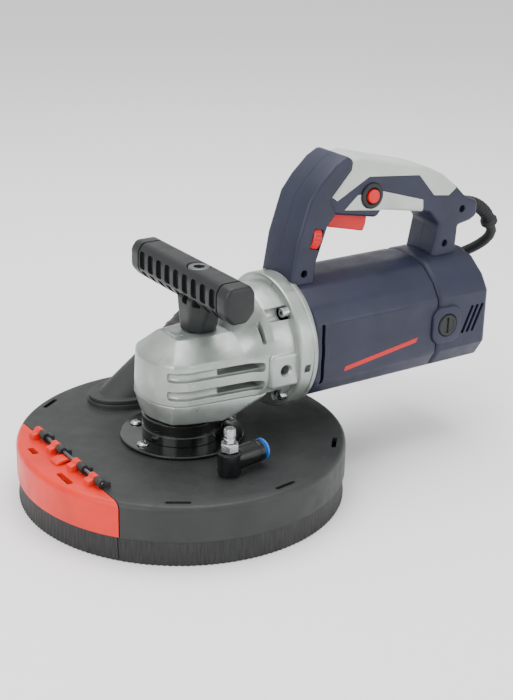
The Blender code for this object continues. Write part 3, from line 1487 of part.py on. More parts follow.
def smooth(route, count):
    """Points at even steps along a smooth curve through a route's own points."""
    points = [Vector(point) for point in route]
    ends = [2 * points[0] - points[1]] + points + [2 * points[-1] - points[-2]]
    fine = []
    steps = 24
    for i in range(1, len(ends) - 2):
        a, b, c, d = ends[i - 1 : i + 3]
        for step in range(steps):
            t = step / steps
            fine.append(
                0.5 * (2 * b + (c - a) * t + (2 * a - 5 * b + 4 * c - d) * t * t + (3 * b - a - 3 * c + d) * t * t * t)
            )
    fine.append(points[-1])
    lengths = [0.0]
    for first, second in zip(fine, fine[1:]):
        lengths.append(lengths[-1] + (second - first).length)
    chosen = []
    for number in range(count):
        wanted = lengths[-1] * number / (count - 1)
        index = min(max(1, next((i for i, run in enumerate(lengths) if run >= wanted), len(fine) - 1)), len(fine) - 1)
        share = (wanted - lengths[index - 1]) / (lengths[index] - lengths[index - 1])
        chosen.append(fine[index - 1].lerp(fine[index], share))
    return chosen


def fill_curve(curve, points):
    spline = curve.splines.new("POLY")
    spline.points.add(len(points) - 1)
    for target, point in zip(spline.points, points):
        target.co = (*point, 1.0)


def add_curve(name, curve, finish):
    obj = bpy.data.objects.new(name, curve)
    bpy.context.scene.collection.objects.link(obj)
    obj.parent = bpy.data.objects["grinder"]
    curve.materials.append(material(finish, name))
    return obj


def main():
    clear_scene()
    axis_empty("grinder", (0, 0, -NOSE_HEIGHT))
    build_shroud()
    build_dust_port()
    build_plate_and_collar()
    build_water_fitting()
    wheel_pieces = build_wheel()
    turning, _ = build_spindle()
    spindle_axis = axis_empty("spindle_axis", (0, 0, 0), bpy.data.objects["grinder"])
    for piece in wheel_pieces + turning:
        hang(piece, spindle_axis)
    build_armature()
    build_gear_head()
    build_t_handle()
    build_motor()
    build_handle()
    build_cable()


main()
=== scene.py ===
"""Concrete grinder: the visual model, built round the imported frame.

Lengths are in metres. X runs from the wheel to the motor, Z is up, and the operator's right is +Y.
While a piece is being modelled its heights are above the floor; finishing it moves it into the row frame.
"""

import logging
import math
from collections.abc import Iterable, Sequence
from dataclasses import dataclass, field
from enum import Enum

import bpy
from mathutils import Euler, Matrix, Vector


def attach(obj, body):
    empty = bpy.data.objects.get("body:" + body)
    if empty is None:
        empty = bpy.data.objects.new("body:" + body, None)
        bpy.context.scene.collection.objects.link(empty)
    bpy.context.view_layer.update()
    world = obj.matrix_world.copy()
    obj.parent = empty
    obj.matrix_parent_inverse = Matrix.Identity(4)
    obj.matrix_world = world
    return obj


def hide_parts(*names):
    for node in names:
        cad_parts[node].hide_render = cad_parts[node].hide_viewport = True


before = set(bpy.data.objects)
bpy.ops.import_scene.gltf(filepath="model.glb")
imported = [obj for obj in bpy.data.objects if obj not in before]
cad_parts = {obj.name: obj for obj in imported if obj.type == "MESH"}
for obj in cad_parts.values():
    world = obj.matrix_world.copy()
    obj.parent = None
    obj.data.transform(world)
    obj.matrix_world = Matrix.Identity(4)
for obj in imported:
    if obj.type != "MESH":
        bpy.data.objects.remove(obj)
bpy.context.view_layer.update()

LOG = logging.getLogger("grinder")

FLOOR = -0.008
GAP = 0.0003
AXIS_HEIGHT = 0.104
FINE = 160
ROUND = 64
SMALL = 32
SPIN_START = 0.031
BAR_X = 0.014
LOCK_PIN_HEIGHT = 0.0925

Point = Sequence[float]
Outline = Sequence[tuple[float, float]]


class Axis(Enum):
    """The world axis that an outline is extruded along."""

    X = "X"
    Y = "Y"
    Z = "Z"


def linear(code: str) -> tuple[float, float, float, float]:
    """Turns an sRGB hex code into a linear colour.

    Args:
        code: Six hex digits.

    Returns:
        Red, green, blue and alpha.
    """
    parts = [int(code[i : i + 2], 16) / 255 for i in (0, 2, 4)]
    red, green, blue = (v / 12.92 if v <= 0.04045 else ((v + 0.055) / 1.055) ** 2.4 for v in parts)
    return red, green, blue, 1.0


def add_node(
    tree: bpy.types.NodeTree, kind: str, settings: dict[str, object], links: dict[
        int | str, bpy.types.NodeSocket
    ]
) -> bpy.types.Node:
    """Adds one shader node.

    Args:
        tree: The material's node tree.
        kind: The node's type name without its ShaderNode prefix.
        settings: Attributes, or values of input sockets by name.
        links: Input socket, by name or number, to the socket that feeds it.

    Returns:
        The node.
    """
    node = tree.nodes.new("ShaderNode" + kind)
    for name, value in settings.items():
        if name in node.inputs:
            node.inputs[name].default_value = value
        else:
            setattr(node, name, value)
    for name, source in links.items():
        tree.links.new(source, node.inputs[name])
    return node


@dataclass(frozen=True)
class Finish:
    """A finish with mottled colour, uneven gloss, a fine surface texture and rubbed edges.

    Sizes are in millimetres. The second colour is what the mottling drifts to, and the worn colour is what
    shows where an outside edge is rubbed.
    """

    name: str
    colour: str
    second: str
    worn: str
    roughness: float
    spread: float = 0.08
    metallic: float = 0.0
    coat: float = 0.0
    grain_mm: float = 0.6
    height_mm: float = 0.02
    blotch_mm: float = 30.0
    wear: float = 0.4
    edge_mm: float = 0.5
    streak: tuple[float, float, float] = (1.0, 1.0, 1.0)
    specular: float = 0.35

    def make(self) -> bpy.types.Material:
        """Builds the material, or returns the one already built."""
        found = bpy.data.materials.get(self.name)
        if found:
            return found
        made = bpy.data.materials.new(self.name)
        made.use_nodes = True
        tree = made.node_tree
        shader = tree.nodes["Principled BSDF"]
        shader.inputs["Metallic"].default_value = self.metallic
        shader.inputs["Coat Weight"].default_value = self.coat
        shader.inputs["Specular IOR Level"].default_value = self.specular
        shader.inputs["Coat Roughness"].default_value = 0.12
        place = add_node(tree, "TexCoord", {}, {}).outputs["Object"]
        stretched = add_node(tree, "Mapping", {"Scale": self.streak}, {"Vector": place}).outputs["Vector"]
        blotch = add_node(
            tree, "TexNoise", {"Scale": 1000 / self.blotch_mm, "Detail": 6.0}, {"Vector": place}
        )
        smear = add_node(
            tree, "TexNoise", {"Scale": 2600 / self.blotch_mm, "Detail": 4.0}, {"Vector": stretched}
        )
        grain = add_node(
            tree, "TexNoise", {"Scale": 1000 / self.grain_mm, "Detail": 3.0}, {"Vector": stretched}
        )
        mottle = add_node(
            tree, "MapRange", {"From Min": 0.35, "From Max": 0.70}, {"Value": blotch.outputs["Fac"]}
        ).outputs["Result"]
        base = add_node(
            tree, "MixRGB", {"Color1": linear(self.colour), "Color2": linear(self.second)}, {"Fac": mottle}
        ).outputs["Color"]
        soft = add_node(tree, "Bevel", {"Radius": self.edge_mm / 1000, "samples": 4}, {}).outputs["Normal"]
        true = add_node(tree, "NewGeometry", {}, {}).outputs["True Normal"]
        facing = add_node(
            tree, "VectorMath", {"operation": "DOT_PRODUCT"}, {0: soft, 1: true}
        ).outputs["Value"]
        edge = add_node(
            tree, "MapRange", {"From Min": 0.985, "From Max": 0.86, "To Max": self.wear}, {"Value": facing}
        ).outputs["Result"]
        patchy = add_node(
            tree, "MapRange", {"From Min": 0.42, "From Max": 0.60}, {"Value": smear.outputs["Fac"]}
        ).outputs["Result"]
        rubbed = add_node(tree, "Math", {"operation": "MULTIPLY"}, {0: edge, 1: patchy}).outputs["Value"]
        colour = add_node(tree, "MixRGB", {"Color2": linear(self.worn)}, {"Fac": rubbed, "Color1": base})
        gloss = add_node(
            tree,
            "MapRange",
            {
                "From Min": 0.3,
                "From Max": 0.7,
                "To Min": self.roughness - self.spread,
                "To Max": self.roughness + self.spread,
            },
            {"Value": smear.outputs["Fac"]},
        )
        bump = add_node(
            tree,
            "Bump",
            {"Strength": 0.6, "Distance": self.height_mm / 1000},
            {"Height": grain.outputs["Fac"], "Normal": soft},
        )
        tree.links.new(colour.outputs["Color"], shader.inputs["Base Color"])
        tree.links.new(gloss.outputs["Result"], shader.inputs["Roughness"])
        tree.links.new(bump.outputs["Normal"], shader.inputs["Normal"])
        return made


@dataclass(frozen=True)
class BristleFinish:
    """Black nylon bristles: fine upright streaks round the skirt, some strands paler than others."""

    name: str = "Nylon bristle"
    dark: str = "050606"
    light: str = "242524"
    strands: float = 620.0

    def make(self) -> bpy.types.Material:
        """Builds the material, or returns the one already built."""
        found = bpy.data.materials.get(self.name)
        if found:
            return found
        made = bpy.data.materials.new(self.name)
        made.use_nodes = True
        tree = made.node_tree
        shader = tree.nodes["Principled BSDF"]
        place = add_node(tree, "TexCoord", {}, {}).outputs["Object"]
        parts = add_node(tree, "SeparateXYZ", {}, {0: place})
        turn = add_node(
            tree, "Math", {"operation": "ARCTAN2"}, {0: parts.outputs["Y"], 1: parts.outputs["X"]}
        )
        along = add_node(tree, "Math", {"operation": "MULTIPLY"}, {0: turn.outputs["Value"]})
        along.inputs[1].default_value = self.strands / math.tau
        drop = add_node(tree, "Math", {"operation": "MULTIPLY"}, {0: parts.outputs["Z"]})
        drop.inputs[1].default_value = 60.0
        joined = add_node(tree, "CombineXYZ", {}, {"X": along.outputs["Value"], "Z": drop.outputs["Value"]})
        strand = add_node(
            tree,
            "TexNoise",
            {"Scale": 1.0, "Detail": 4.0, "Roughness": 0.7},
            {"Vector": joined.outputs["Vector"]},
        )
        tone = add_node(
            tree, "MapRange", {"From Min": 0.38, "From Max": 0.72}, {"Value": strand.outputs["Fac"]}
        )
        colour = add_node(
            tree, "MixRGB", {
                "Color1": linear(self.dark), "Color2": linear(self.light)
            }, {"Fac": tone.outputs["Result"]}
        )
        bump = add_node(
            tree, "Bump", {"Strength": 1.0, "Distance": 0.0006}, {"Height": strand.outputs["Fac"]}
        )
        gloss = add_node(tree, "MapRange", {"To Min": 0.75, "To Max": 0.45}, {"Value": strand.outputs["Fac"]})
        tree.links.new(colour.outputs["Color"], shader.inputs["Base Color"])
        tree.links.new(gloss.outputs["Result"], shader.inputs["Roughness"])
        tree.links.new(bump.outputs["Normal"], shader.inputs["Normal"])
        return made


# Moulded ABS with a spark-eroded texture: matt, with paler scuffed edges
SHROUD_ABS = Finish(
    "Moulded grey ABS", "292C2B", "212423", "565A58", 0.50, 0.07, grain_mm=0.5, height_mm=0.03, wear=0.55
)
# Smooth red polypropylene: a soft sheen and edges rubbed lighter
RED_PP = Finish(
    "Red polypropylene", "DC1F0C", "C91B0A", "EE6A52", 0.40, 0.08, grain_mm=0.5, height_mm=0.02, wear=0.5
)
# Glass-filled nylon, navy: a fine dry texture that scatters highlights
NAVY_NYLON = Finish(
    "Navy glass-filled nylon",
    "23263A",
    "1C1F30",
    "4E5264",
    0.46,
    0.07,
    grain_mm=0.55,
    height_mm=0.035,
    wear=0.5,
)
# Light grey thermoplastic elastomer on the grips: velvety and slightly dirty
GREY_TPE = Finish(
    "Light grey elastomer", "B9BFBA", "A9AFAA", "D6DAD6", 0.58, 0.06, grain_mm=0.7, height_mm=0.03, wear=0.3
)
# Black nylon of the cross handle: fine texture, greyed on its corners
BLACK_NYLON = Finish(
    "Black nylon", "1C1F20", "151718", "46494A", 0.44, 0.08, grain_mm=0.5, height_mm=0.03, wear=0.5
)
# Die-cast aluminium under silver lacquer: grainy skin, bright bare edges
CAST_ALUMINIUM = Finish(
    "Lacquered cast aluminium", "A3ABA6", "8D9590", "DDE1DD", 0.36, 0.09, 0.65, 0.2, 0.9, 0.05, 24.0, 0.8
)
# Black stoved enamel on steel: thick and glossy with a faint orange peel
BLACK_ENAMEL = Finish(
    "Black stoved enamel", "0A0B0B", "111212", "3C3D3E", 0.20, 0.07, 0.0, 0.6, 2.5, 0.03, 30.0, 0.5
)
# Zinc-plated steel: bright with soft grey clouds
ZINC_STEEL = Finish(
    "Zinc-plated steel", "B4B7B8", "989C9E", "DCDEDF", 0.26, 0.10, 1.0, 0.0, 0.4, 0.01, 8.0, 0.5
)
# Machined bare steel: darker, with fine turning marks
BARE_STEEL = Finish(
    "Machined steel", "74777A", "5C5F62", "B0B3B5", 0.34, 0.10, 1.0, 0.0, 0.5, 0.02, 14.0, 0.5
)
# Smooth vulcanised rubber of the cord and its boot
RUBBER = Finish(
    "Black rubber", "131516", "1A1C1D", "2E3031", 0.62, 0.08, grain_mm=0.8, height_mm=0.03, wear=0.3
)
# Blue acetal release ring: smooth and a little glossy
BLUE_ACETAL = Finish(
    "Blue acetal", "2A74CF", "2467BC", "6CA2E2", 0.34, 0.06, grain_mm=0.6, height_mm=0.01, wear=0.4
)
# Sheet brass, slightly tarnished
BRASS = Finish("Brass", "B99A55", "9E8344", "DCC388", 0.32, 0.10, 1.0, 0.0, 0.4, 0.01, 8.0, 0.4)
# Enamelled copper wire and copper bars
COPPER = Finish(
    "Copper", "A8623A", "8C4E2C", "D08A60", 0.36, 0.10, 1.0, 0.0, 0.4, 0.03, 6.0, 0.4, streak=(1.0, 3.0, 3.0)
)
# Pressed carbon of the motor brushes
CARBON = Finish("Pressed carbon", "2B2B2D", "222224", "48484A", 0.70, 0.08, grain_mm=0.4, height_mm=0.04)
# Diamond grit in a sintered metal bond: coarse and dull, grit drawn at 0.8 mm
DIAMOND_BOND = Finish(
    "Sintered diamond bond", "6B665C", "4E4A43", "8C8779", 0.75, 0.12, 0.3, 0.0, 0.8, 0.25, 5.0, 0.3
)
# Red lacquer stripe on the motor: thin, smooth and a little scuffed
RED_LACQUER = Finish(
    "Red lacquer", "C4161E", "B0121A", "DC6A64", 0.34, 0.08, grain_mm=0.5, height_mm=0.01, wear=0.5
)
# Glossy moulded nylon of the water fitting
GLOSS_NYLON = Finish(
    "Glossy black nylon", "0D0E0F", "141516", "3A3C3D", 0.24, 0.06, grain_mm=0.8, height_mm=0.01, wear=0.4
)
# Glossy red of the trigger, its lock and the dial
RED_NYLON = Finish(
    "Red nylon", "CC0F16", "B80D13", "E4605A", 0.32, 0.06, grain_mm=0.6, height_mm=0.01, wear=0.4
)
BRISTLE = BristleFinish()

AnyFinish = Finish | BristleFinish


def deselect() -> None:
    """Leaves nothing selected."""
    bpy.ops.object.select_all(action="DESELECT")


class Piece:
    """A solid that is being modelled, with heights above the floor until it is finished."""

    def __init__(self, obj: bpy.types.Object) -> None:
        """Keeps the object that holds the solid."""
        self.obj = obj

    @classmethod
    def from_points(cls, points: Iterable[Point]) -> "Piece":
        """Adds a circle primitive and moves its vertices to the given places, in order."""
        places = [Vector(point) for point in points]
        deselect()
        bpy.ops.mesh.primitive_circle_add(vertices=len(places), radius=1.0, fill_type="NOTHING")
        obj = bpy.context.object
        for vertex, place in zip(obj.data.vertices, places):
            vertex.co = place
        return cls(obj)

    @classmethod
    def lathe(
        cls, profile: Outline, sides: int = ROUND, place: Point = (0, 0, 0), turn: Point = (0, 0, 0)
    ) -> "Piece":
        """Spins a closed profile round local Z.

        Args:
            profile: Points of radius and height.
            sides: Steps round the axis.
            place: Where the axis stands.
            turn: Turns about X, Y and Z in degrees.

        Returns:
            The new piece.
        """
        start = Vector((math.cos(SPIN_START), math.sin(SPIN_START), 0))
        made = cls.from_points((radius * start.x, radius * start.y, height) for radius, height in profile)
        bpy.ops.object.mode_set(mode="EDIT")
        bpy.ops.mesh.select_all(action="SELECT")
        bpy.ops.mesh.spin(steps=sides, angle=math.tau, center=(0, 0, 0), axis=(0, 0, 1), use_auto_merge=True)
        bpy.ops.mesh.select_all(action="SELECT")
        bpy.ops.mesh.remove_doubles(threshold=1e-6)
        bpy.ops.mesh.delete_loose(use_faces=False)
        bpy.ops.mesh.select_all(action="SELECT")
        bpy.ops.mesh.normals_make_consistent(inside=False)
        bpy.ops.object.mode_set(mode="OBJECT")
        return made.stand(place, turn)

    @classmethod
    def plate(cls, outline: Outline, axis: Axis, low: float, high: float) -> "Piece":
        """Extrudes an outline drawn across one axis.

        Args:
            outline: Points of the outline, in X, Y, Z order of the two other axes.
            axis: The axis that it is extruded along.
            low: Where it starts.
            high: Where it ends.

        Returns:
            The new piece.
        """
        corner = {
            Axis.X: lambda u, v, w: (w, u, v),
            Axis.Y: lambda u, v, w: (u, w, v),
            Axis.Z: lambda u, v, w: (u, v, w),
        }[axis]
        made = cls.from_points(corner(u, v, low) for u, v in outline)
        bpy.ops.object.mode_set(mode="EDIT")
        bpy.ops.mesh.select_all(action="SELECT")
        bpy.ops.mesh.edge_face_add()
        bpy.ops.mesh.extrude_region_move(TRANSFORM_OT_translate={"value": corner(0, 0, high - low)})
        bpy.ops.mesh.select_all(action="SELECT")
        bpy.ops.mesh.normals_make_consistent(inside=False)
        bpy.ops.object.mode_set(mode="OBJECT")
        return made

    @classmethod
    def block(cls, first: Point, second: Point, place: Point = (0, 0, 0), turn: Point = (0, 0, 0)) -> "Piece":
        """A block between two opposite corners, given from its place before it is turned."""
        low = Vector(map(min, first, second))
        high = Vector(map(max, first, second))
        deselect()
        bpy.ops.mesh.primitive_cube_add(size=1.0, location=(low + high) / 2, scale=high - low)
        bpy.ops.object.transform_apply(location=True, rotation=True, scale=True)
        return cls(bpy.context.object).stand(place, turn)

    @classmethod
    def bar(
        cls,
        radius: float,
        low: float,
        high: float,
        place: Point = (0, 0, 0),
        turn: Point = (0, 0, 0),
        sides: int = ROUND,
    ) -> "Piece":
        """A round bar from low to high along local Z."""
        return cls.lathe([(0, high), (radius, high), (radius, low), (0, low)], sides, place, turn)

    @classmethod
    def hull(cls, points: Iterable[Point], place: Point = (0, 0, 0), turn: Point = (0, 0, 0)) -> "Piece":
        """The convex solid round a set of points."""
        made = cls.from_points(points)
        bpy.ops.object.mode_set(mode="EDIT")
        bpy.ops.mesh.select_all(action="SELECT")
        bpy.ops.mesh.convex_hull()
        bpy.ops.mesh.select_all(action="SELECT")
        bpy.ops.mesh.dissolve_limited(angle_limit=math.radians(0.1))
        bpy.ops.mesh.delete_loose()
        bpy.ops.mesh.select_all(action="SELECT")
        bpy.ops.mesh.normals_make_consistent(inside=False)
        bpy.ops.object.mode_set(mode="OBJECT")
        return made.stand(place, turn)

    def stand(self, place: Point, turn: Point) -> "Piece":
        """Turns the piece, moves it to its place and applies both."""
        matrix = Matrix.Translation(place) @ Euler(
            [math.radians(angle) for angle in turn]
        ).to_matrix().to_4x4()
        self.obj.data.transform(matrix)
        return self

    def modify(self, kind: str, **settings: object) -> "Piece":
        """Adds a modifier with its settings and applies it."""
        deselect()
        bpy.context.view_layer.objects.active = self.obj
        self.obj.select_set(True)
        modifier = self.obj.modifiers.new(kind.title(), kind)
        for name, value in settings.items():
            setattr(modifier, name, value)
        bpy.ops.object.modifier_apply(modifier=modifier.name)
        return self

    def bevel(self, width: float, segments: int = 3, angle: float = 30) -> "Piece":
        """Rounds every edge sharper than an angle in degrees."""
        return self.modify(
            "BEVEL", width=width, segments=segments, limit_method="ANGLE", angle_limit=math.radians(
                angle
            ), use_clamp_overlap=True
        )

    def combine(self, operation: str, tools: Iterable["Piece"]) -> "Piece":
        """Runs one Boolean after another and removes the tools."""
        for tool in tools:
            self.modify("BOOLEAN", operation=operation, object=tool.obj, solver="MANIFOLD")
            bpy.data.objects.remove(tool.obj)
        return self

    def cut(self, *tools: "Piece") -> "Piece":
        """Cuts the tools out of the piece."""
        return self.combine("DIFFERENCE", tools)

    def add(self, *tools: "Piece") -> "Piece":
        """Joins the tools to the piece."""
        return self.combine("UNION", tools)

    def keep(self, tool: "Piece") -> "Piece":
        """Keeps what lies inside the tool."""
        return self.combine("INTERSECT", [tool])

    def finish(
        self, name: str, body: str, finish: AnyFinish, *nodes: str, angle: float = 32
    ) -> bpy.types.Object:
        """Names, shades and dresses the piece, and has it stand for its CAD nodes.

        Args:
            name: The piece's name.
            body: The CAD body it rides on.
            finish: Its finish.
            nodes: The CAD nodes that it replaces.
            angle: Edges flatter than this are shaded smooth, in degrees.

        Returns:
            The finished object.
        """
        obj = self.obj
        obj.data.transform(Matrix.Translation((0, 0, FLOOR)))
        obj.name = name
        obj.data.name = name
        obj.data.materials.clear()
        obj.data.materials.append(finish.make())
        for polygon in obj.data.polygons:
            polygon.material_index = 0
        deselect()
        bpy.context.view_layer.objects.active = obj
        obj.select_set(True)
        bpy.ops.object.shade_smooth_by_angle(angle=math.radians(angle))
        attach(obj, body)
        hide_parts(*nodes)
        LOG.info("%s: %d faces", name, len(obj.data.polygons))
        return obj


def polar(radius: float, degrees: float) -> tuple[float, float]:
    """The X and Y of a point on a circle."""
    return radius * math.cos(math.radians(degrees)), radius * math.sin(math.radians(degrees))


def circle(radius: float, count: int, start: float = 0.0) -> list[tuple[float, float]]:
    """Points evenly round a circle."""
    return [
        (radius * math.cos(start + i * math.tau / count), radius * math.sin(start + i * math.tau / count))
        for i in range(count)
    ]


def smooth_line(route: Sequence[Point], count: int) -> list[Vector]:
    """Points at even steps along a smooth curve through a route's own points.

    Args:
        route: The route's points.
        count: How many points to return.

    Returns:
        The points, first and last included.
    """
    points = [Vector(point) for point in route]
    ends = [2 * points[0] - points[1], *points, 2 * points[-1] - points[-2]]
    fine: list[Vector] = []
    steps = 24
    for i in range(1, len(ends) - 2):
        a, b, c, d = ends[i - 1 : i + 3]
        for step in range(steps):
            t = step / steps
            fine.append(
                0.5
                * (
                    2 * b
                    + (c - a) * t
                    + (2 * a - 5 * b + 4 * c - d) * t * t
                    + (3 * b - a - 3 * c + d) * t**3
                )
            )
    fine.append(points[-1])
    runs = [0.0]
    for first, second in zip(fine, fine[1:]):
        runs.append(runs[-1] + (second - first).length)
    chosen = []
    for number in range(count):
        wanted = runs[-1] * number / (count - 1)
        index = min(
            next((i for i, run in enumerate(runs) if run >= wanted and i > 0), len(fine) - 1), len(fine) - 1
        )
        share = (wanted - runs[index - 1]) / (runs[index] - runs[index - 1])
        chosen.append(fine[index - 1].lerp(fine[index], min(1.0, share)))
    return chosen


@dataclass
class Studio:
    """The camera, the pale floor and the soft lights."""

    camera_place: Point = (-0.48602, -0.81756, 0.47989)
    camera_right: Point = (0.83347, -0.55216, 0.02092)
    camera_up: Point = (0.18769, 0.31851, 0.92915)
    lens: float = 72.0
    sensor: float = 36.0
    floor_colour: str = "FAFAFA"

    def camera(self) -> None:
        """Makes the scene's camera."""
        data = bpy.data.cameras.new("camera")
        data.lens = self.lens
        data.sensor_width = self.sensor
        data.clip_start = 0.01
        camera = bpy.data.objects.new("camera", data)
        bpy.context.scene.collection.objects.link(camera)
        right = Vector(self.camera_right).normalized()
        back = right.cross(Vector(self.camera_up)).normalized()
        up = back.cross(right)
        turn = Matrix((right, up, back)).transposed()
        camera.matrix_world = Matrix.Translation(self.camera_place) @ turn.to_4x4()
        bpy.context.scene.camera = camera

    def floor(self) -> None:
        """Makes the floor, a matt sheet that runs out to the horizon."""
        deselect()
        bpy.ops.mesh.primitive_plane_add(size=30.0, location=(0, 0, FLOOR - 0.0002))
        floor = bpy.context.object
        floor.name = "studio_floor"
        made = bpy.data.materials.new("Pale studio paper")
        made.use_nodes = True
        shader = made.node_tree.nodes["Principled BSDF"]
        shader.inputs["Base Color"].default_value = linear(self.floor_colour)
        shader.inputs["Roughness"].default_value = 0.9
        shader.inputs["Specular IOR Level"].default_value = 0.1
        floor.data.materials.append(made)

    def lamp(self, name: str, place: Point, aim: Point, size: float, power: float) -> None:
        """Adds a square soft box that faces a point."""
        data = bpy.data.lights.new(name, "AREA")
        data.shape = "SQUARE"
        data.size = size
        data.energy = power
        lamp = bpy.data.objects.new(name, data)
        bpy.context.scene.collection.objects.link(lamp)
        lamp.location = place
        lamp.rotation_euler = (Vector(aim) - Vector(place)).to_track_quat("-Z", "Y").to_euler()

    def light(self) -> None:
        """Lights the object from above, from the left and from the front right, with a pale surround."""
        world = bpy.data.worlds.new("surround")
        bpy.context.scene.world = world
        world.use_nodes = True
        background = world.node_tree.nodes["Background"]
        background.inputs["Color"].default_value = (1.0, 1.0, 1.0, 1.0)
        background.inputs["Strength"].default_value = 1.0
        self.lamp("overhead", (0.10, 0.20, 1.30), (0.08, 0, 0.05), 1.2, 20.0)
        self.lamp("left", (-1.20, -0.50, 0.75), (0.05, 0, 0.08), 0.9, 13.0)
        self.lamp("front", (0.70, -1.20, 0.55), (0.10, 0, 0.10), 0.8, 7.0)

    def build(self) -> None:
        """Makes everything but the camera."""
        self.floor()
        self.light()


@dataclass
class Cable:
    """The mains cord: a boot, a lead down behind the tool, and a stored coil that ends in a plug."""

    diameter: float = 0.0085
    length: float = 1.88
    turns: int = 7
    coil_radius: float = 0.038
    coil_centre: tuple[float, float] = (0.160, 0.160)
    boot_route: list[tuple[float, float]] = field(
        default_factory=lambda: [
            (0.2540, 0.1842),
            (0.2652, 0.1842),
            (0.2740, 0.1822),
            (0.2830, 0.1775),
            (0.2905, 0.1705),
            (0.2945, 0.1625),
        ]
    )
    lead_route: list[tuple[float, float, float]] = field(
        default_factory=lambda: [
            (0.2949, 0.0000, 0.1617),
            (0.2975, 0.0003, 0.1565),
            (0.2982, 0.0045, 0.1490),
            (0.2952, 0.0115, 0.1415),
            (0.2895, 0.0210, 0.1340),
            (0.2810, 0.0350, 0.1255),
            (0.2715, 0.0540, 0.1160),
            (0.2625, 0.0750, 0.0945),
            (0.2555, 0.0890, 0.0640),
            (0.2480, 0.0975, 0.0340),
            (0.2370, 0.1025, 0.0130),
            (0.2190, 0.1045, 0.0050),
            (0.1980, 0.1050, 0.0048),
            (0.1780, 0.1062, 0.0048),
        ]
    )

    def coil_line(self) -> list[Vector]:
        """The stored turns: three lanes on the floor, three on them and the last on top.

        Returns:
            Points along the turns and on to the plug's tail.
        """
        x, y = self.coil_centre
        step = self.diameter * 1.015
        lowest = self.diameter / 2 + 0.0004
        lanes = [(1, 0), (0, 0), (-1, 0), (-1, 1), (0, 1), (1, 1), (0, 2)]
        first, last = -71.5, 90.0 - 360.0 * self.turns
        shift = 70.0
        points = []
        for number in range(1, int((first - last) / 12)):
            turned = 12.0 * number
            lane = min(int(turned // 360), len(lanes) - 1)
            share = min(1.0, max(0.0, (turned % 360 - 360 + shift) / shift))
            share = share * share * (3 - 2 * share)
            ahead = lanes[min(lane + 1, len(lanes) - 1)]
            across = lanes[lane][0] + (ahead[0] - lanes[lane][0]) * share
            layer = lanes[lane][1] + (ahead[1] - lanes[lane][1]) * share
            opening = max(0.0, 1 - turned / 80) ** 2 * 0.0100
            radius = self.coil_radius + across * step + opening
            u, v = polar(radius, first - turned)
            points.append(Vector((x + u, y + v, lowest + layer * step)))
        return points

    def build(self) -> None:
        """Makes the cord as one curve with its boot and plug."""
        tail = [
            Vector((0.1660, 0.1983, 0.0212)),
            Vector((0.1840, 0.1981, 0.0185)),
            Vector((0.2030, 0.1980, 0.0170)),
        ]
        lead = smooth_line(self.lead_route, 44)
        line = [*lead, *self.coil_line(), *tail]
        data = bpy.data.curves.new("cord", "CURVE")
        data.dimensions = "3D"
        data.bevel_depth = self.diameter / 2
        data.bevel_resolution = 4
        data.use_fill_caps = True
        spline = data.splines.new("POLY")
        spline.points.add(len(line) - 1)
        for target, point in zip(spline.points, line):
            target.co = (point.x, point.y, point.z + FLOOR, 1.0)
        spline.use_smooth = True
        cord = bpy.data.objects.new("cord", data)
        bpy.context.scene.collection.objects.link(cord)
        data.materials.append(RUBBER.make())
        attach(cord, "frame")
        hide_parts("cord_tube", "cord_coil")
        plug = self.plug()
        self.boot()

    def boot(self) -> None:
        """The tapered strain relief, with rings cut into it and a bead at its end."""
        line = smooth_line([(x, 0.0, z) for x, z in self.boot_route], 57)
        deselect()
        bpy.ops.mesh.primitive_circle_add(vertices=32, radius=1.0, fill_type="NGON")
        ring = bpy.context.object
        rows = []
        for number, point in enumerate(line):
            share = number / (len(line) - 1)
            before, after = line[max(0, number - 1)], line[min(len(line) - 1, number + 1)]
            along = (after - before).normalized()
            radius = 0.0060 - 0.0006 * share
            if 0.30 < share < 0.86 and number % 4 in (2, 3):
                radius -= 0.0009
            if share > 0.90:
                radius = 0.0070 if share < 0.985 else 0.0064
            rows.append((point, along, radius))
        made = skin_along(ring, rows)
        Piece(made).finish("cable_boot_sleeve", "frame", RUBBER, "cable_boot", angle=50)

    def plug(self) -> bpy.types.Object:
        """A round moulded plug with a ribbed tail, finger grooves and two pins."""
        tail = 0.2012
        body = tail + 0.016
        end = body + 0.042
        profile = [(0, tail)]
        for number in range(4):
            start = tail + 0.0005 + number * 0.0038
            radius = 0.0056 + number * 0.0003
            profile += [
                (radius, start),
                (radius, start + 0.0024),
                (radius - 0.0010, start + 0.0028),
                (radius - 0.0010, start + 0.0036),
            ]
        profile += [
            (0.0095, body + 0.0010),
            (0.0136, body + 0.0050),
            (0.0166, body + 0.0110),
            (0.0168, body + 0.0180),
            (0.0152, body + 0.0210),
            (0.0152, body + 0.0300),
            (0.0168, body + 0.0330),
            (0.0168, end - 0.0015),
            (0.0153, end),
            (0, end),
        ]
        plug = Piece.lathe(profile[::-1], 48, (0, 0.198, 0.017), (0, 90, 0))
        for side in (-1, 1):
            place = (0, 0.198 + side * 0.0095, 0.017)
            pin = [
                (0, end + 0.019),
                (0.0014, end + 0.019),
                (0.0024, end + 0.0175),
                (0.0024, end - 0.002),
                (0, end - 0.002),
            ]
            plug.add(Piece.lathe(pin, 24, place, (0, 90, 0)))
        return plug.finish("mains_plug", "frame", RUBBER, "plug")


